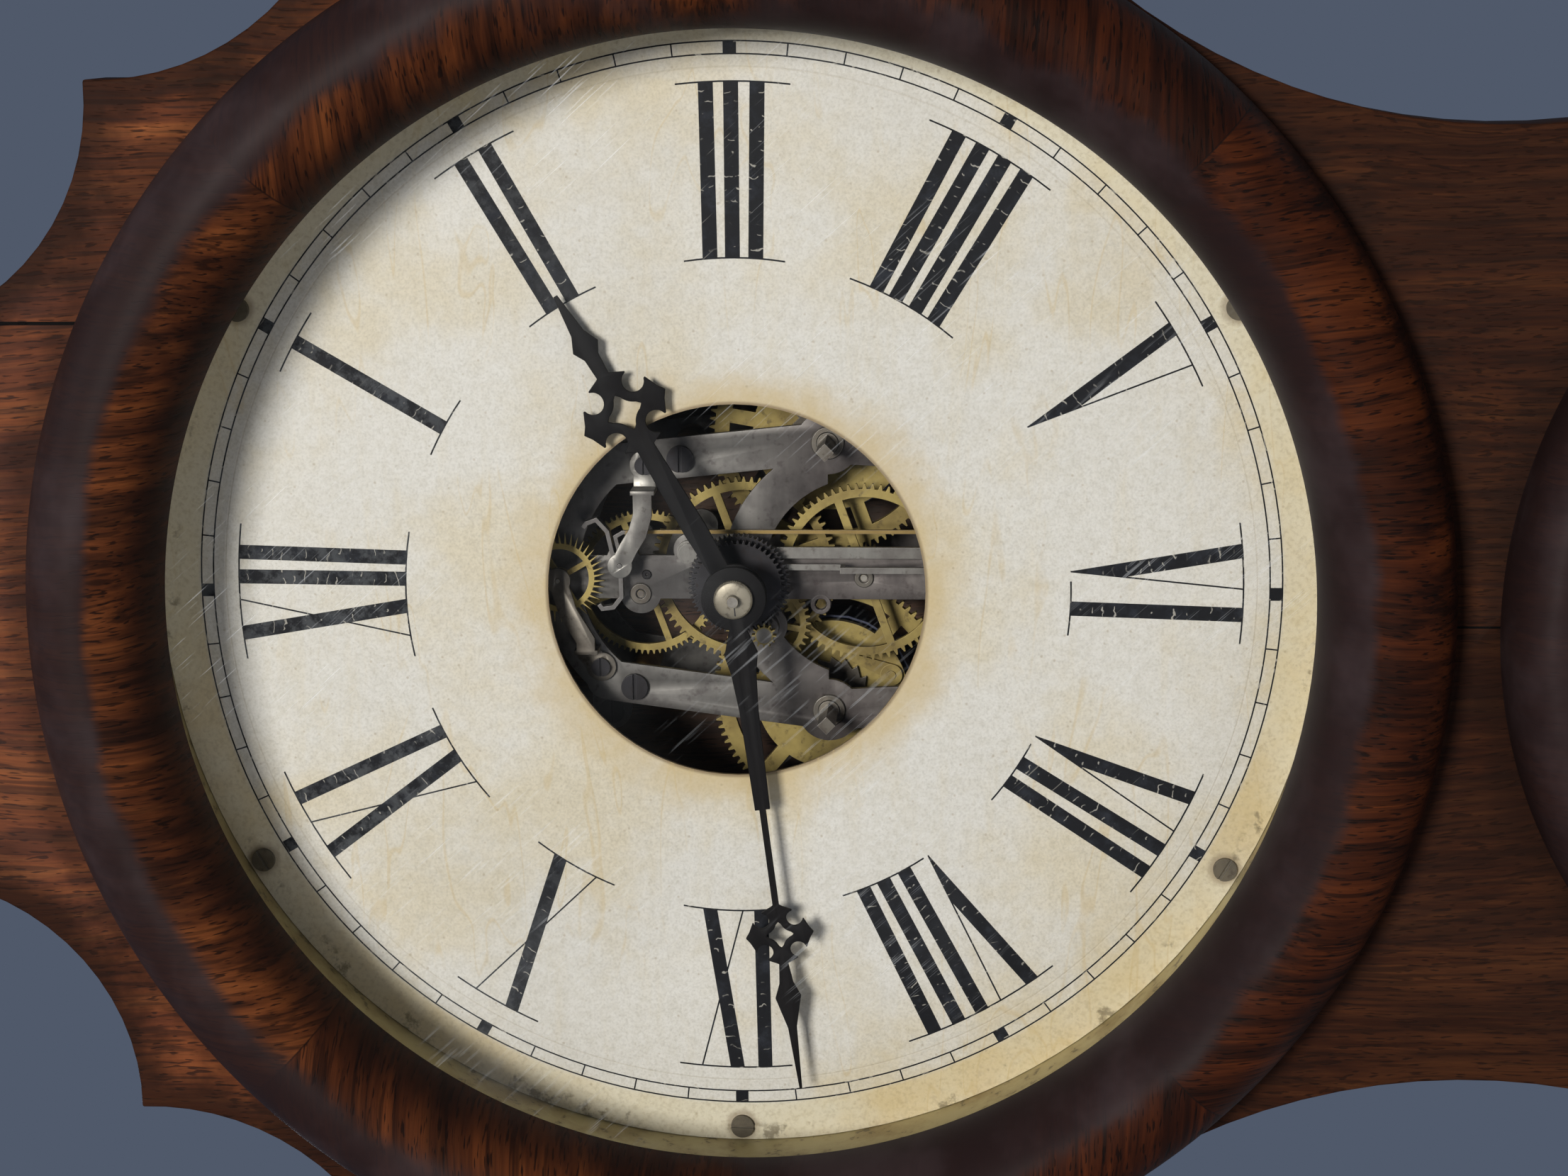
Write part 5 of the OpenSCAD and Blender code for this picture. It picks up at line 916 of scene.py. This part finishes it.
def makeNut():
    bm = bmesh.new()
    profile = [(nut["hole"], nut["back"]), (nut["hole"], nut["face"]), (nut["flatR"], nut["face"]),
               (nut["coneR"], nut["cone"]), (nut["r"], nut["edge"]), (nut["r"], nut["back"])]
    turn(bm, profile, timeCentre, 2 * nut["teeth"])
    # every second line of the rim is pressed in
    for vert in bm.verts:
        across = Vector((vert.co.x, 0, vert.co.z)) - timeCentre
        if across.length > nut["rimFrom"] * mm:
            line = round(math.atan2(across.z, across.x) / math.tau * 2 * nut["teeth"])
            if line % 2:
                vert.co -= across.normalized() * nut["notch"] * mm
    addPiece("knurledNut", bm, look["nickel"], "centre_arbor", nut["shadeDegrees"], ("hand_nut",))
    # the slot: a dark sheet standing for painted shade
    bm = bmesh.new()
    slot = [(x, z + clock["timeZ"]) for x, z in nut["slot"]]
    slab(bm, slot, nut["face"] + nut["slotSunk"], nut["face"] - nut["slotLift"])
    bmesh.ops.recalc_face_normals(bm, faces=bm.faces)
    addPiece("nutSlotShade", bm, look["darkSteel"], "centre_arbor")


makeNut()
print("hands made")

# Movement: the front plate with its bushes, lug, small screw and the washers round the winding squares
softened("front_plate", "skeletonPlate", 0.15, look["plate"], "case")
softened("verge_cock", "vergeCockStrip", 0.2, look["brightSteel"], "case")
softened("escape_bridge", "escapeBridgeStrip", 0.2, look["arborSteel"], "case")
# Material, slot, how deep the rings start in the plate and how high they stand on it.
# Then each ring's place from the dial's centre, with its inner and outer radius.
onPlate = {
    "pivotBushes": ("arborSteel", "steel", 0.1, 0.7, [(-4.5, 27.2, 1.2, 2.9), (0, -32.8, 1.2, 2.6)]),
    "strapLug": ("plate", "steel", 1.55, 0.05, [(-7.3, -21.2, 1.5, 2.8)]),
    "arborWashers": ("arborSteel", "brass", 0.1, 0.9, [(-36.5, -23.3, 2.8, 4.4), (36.5, -23.3, 2.8, 4.4)]),
    "strapScrew": ("darkSteel", "dark_steel", 0.1, 0.6, [(0.7, 25.5, 0.25, 1.3)]),
}
ringForm = {"soft": 0.25, "steps": 64}


def raisedRing(bm, x, z, inner, outer, back, front):
    soft = min(ringForm["soft"], (outer - inner) / 4)
    profile = [(inner, back), (inner, front + soft), (inner + soft, front), (outer - soft, front),
               (outer, front + soft), (outer, back)]
    turn(bm, profile, Vector((x, 0, z + clock["timeZ"])) * mm, ringForm["steps"])


for name, (metal, slot, sunk, lift, rings) in onPlate.items():
    bm = bmesh.new()
    for ring in rings:
        raisedRing(bm, *ring, clock["platesY"] + sunk, clock["platesY"] - lift)
    addPiece(name, bm, look[metal], "case")
print("movement dressed")

# Calendar dial: day numbers and their track, words on the rollers
calendar = {
    "numbersR": 85, "size": 8.5, "sunk": 0.01, "thick": 0.05, "days": 31, "curveSteps": 4,
    "track": {"inner": 91.5, "outer": 94, "line": 0.35, "block": 1.2, "marks": 31, "bold": 31},
    "roller": {"centreY": -55.4, "r": 15, "x": 45, "size": 6.2, "thick": 0.06, "rows": (-3, 4)},
    "weekdays": ["SUN", "MON", "TUE", "WED", "THU", "FRI", "SAT"],
    "months": ["JAN", "FEB", "MAR", "APR", "MAY", "JUN", "JUL", "AUG", "SEP", "OCT", "NOV", "DEC"],
}


def wordMesh(word, size):
    curve = bpy.data.curves.new(word, "FONT")
    curve.body = word
    curve.size = size * mm
    curve.align_x = "CENTER"
    curve.align_y = "CENTER"
    curve.resolution_u = calendar["curveSteps"]
    holder = bpy.data.objects.new(word, curve)
    bm = bmesh.new()
    bm.from_mesh(holder.to_mesh())
    holder.to_mesh_clear()
    bpy.data.objects.remove(holder)
    bpy.data.curves.remove(curve)
    bmesh.ops.remove_doubles(bm, verts=bm.verts, dist=sameSpot)
    return bm


def thicken(bm, lift):
    raised = bmesh.ops.extrude_face_region(bm, geom=bm.faces[:])
    moved = [part for part in raised["geom"] if isinstance(part, bmesh.types.BMVert)]
    bmesh.ops.translate(bm, verts=moved, vec=(0, 0, lift * mm))


def addInto(whole, part):
    mesh = meshFrom("part", part)
    whole.from_mesh(mesh)
    bpy.data.meshes.remove(mesh)


def makeDayNumbers():
    whole = bmesh.new()
    for day in range(1, calendar["days"] + 1):
        bm = wordMesh(str(day), calendar["size"])
        thicken(bm, calendar["thick"])
        a = math.tau * (day - 1) / calendar["days"]
        place = (Matrix.Translation(calendarCentre + Vector((0, clock["dialY"] + calendar["sunk"], 0)) * mm)
                 @ Matrix.Rotation(a, 4, "Y") @ Matrix.Translation((0, 0, calendar["numbersR"] * mm))
                 @ Matrix.Rotation(math.pi / 2, 4, "X"))
        bmesh.ops.transform(bm, matrix=place, verts=bm.verts)
        addInto(whole, bm)
    bmesh.ops.recalc_face_normals(whole, faces=whole.faces)
    addPiece("dayNumbers", whole, look["ink"], "case", numerals["shadeDegrees"])


# Words bent round a roller, cut into rows first so that they follow it
def makeRollerWords(name, words, side, body):
    roller = calendar["roller"]
    whole = bmesh.new()
    for i, word in enumerate(words):
        bm = wordMesh(word, roller["size"])
        for row in range(*roller["rows"]):
            everything = bm.verts[:] + bm.edges[:] + bm.faces[:]
            bmesh.ops.bisect_plane(bm, geom=everything, plane_co=(0, row * mm, 0), plane_no=(0, 1, 0))
        thicken(bm, roller["thick"])
        for vert in bm.verts:
            a = vert.co.y / (roller["r"] * mm) + math.tau * i / len(words)
            r = roller["r"] * mm - calendar["sunk"] * mm + vert.co.z
            vert.co = Vector((side * roller["x"] * mm + vert.co.x, roller["centreY"] * mm - r * math.cos(a),
                              calendarCentre.z + r * math.sin(a)))
        addInto(whole, bm)
    bmesh.ops.recalc_face_normals(whole, faces=whole.faces)
    addPiece(name, whole, look["ink"], body, numerals["shadeDegrees"])


makeDayNumbers()
makeTrack("dayTrack", calendarCentre, *calendar["track"].values())
makeRollerWords("weekdayWords", calendar["weekdays"], -1, "weekday_drum")
makeRollerWords("monthWords", calendar["months"], 1, "month_drum")
print("calendar dial drawn")


# Floor, light and sky
stage = {
    "floorR": 1.15, "floorEdges": 128, "floorTone": tone(200, 203, 208), "floorRough": 0.8,
    "sky": (0.4, 0.5, 0.72, 1), "skyStrength": 0.2,
}
lights = {
    "key": {"place": (0.6, -3.0, 1.12), "size": (0.75, 0.75), "power": 92, "colour": (1.0, 0.97, 0.92)},
    "top": {"place": (0.3, -0.5, 1.7), "size": (1.0, 0.5), "power": 5, "colour": (0.95, 0.96, 1.0)},
    "fill": {"place": (-0.9, -1.6, -0.9), "size": (1.1, 1.1), "power": 9, "colour": (1.0, 0.95, 0.9)},
    "behind": {"place": (-0.8, 2.2, 0.8), "size": (1.4, 1.4), "power": 26, "colour": (0.92, 0.95, 1.0)},
}


def makeStage():
    lowest = cadBox[0].z
    bm = bmesh.new()
    bmesh.ops.create_circle(bm, cap_ends=True, segments=stage["floorEdges"], radius=stage["floorR"])
    bmesh.ops.translate(bm, verts=bm.verts, vec=(0, 0, lowest))
    floor = addObject("floor", meshFrom("floor", bm))
    fixed = {"Roughness": stage["floorRough"], "Base Color": stage["floorTone"]}
    floor.data.materials.append(startMaterial("paleFloor", fixed)[0])


def makeLight(name, place, size, power, colour):
    data = bpy.data.lights.new(name, "AREA")
    data.shape = "RECTANGLE"
    data.size, data.size_y = size
    data.energy = power
    data.color = colour
    light = addObject(name, data)
    spot = timeDial + Vector(place)
    facing = (spot - timeDial).to_track_quat("Z", "Y")
    light.matrix_world = Matrix.Translation(spot) @ facing.to_matrix().to_4x4()


def makeWorld():
    world = bpy.data.worlds.new("studio")
    bpy.context.scene.world = world
    world.use_nodes = True
    back = world.node_tree.nodes["Background"]
    back.inputs["Color"].default_value = stage["sky"]
    back.inputs["Strength"].default_value = stage["skyStrength"]


makeStage()
makeWorld()
for name, light in lights.items():
    makeLight(name, **light)
bpy.context.scene.view_settings.view_transform = "Standard"
print("stage set")
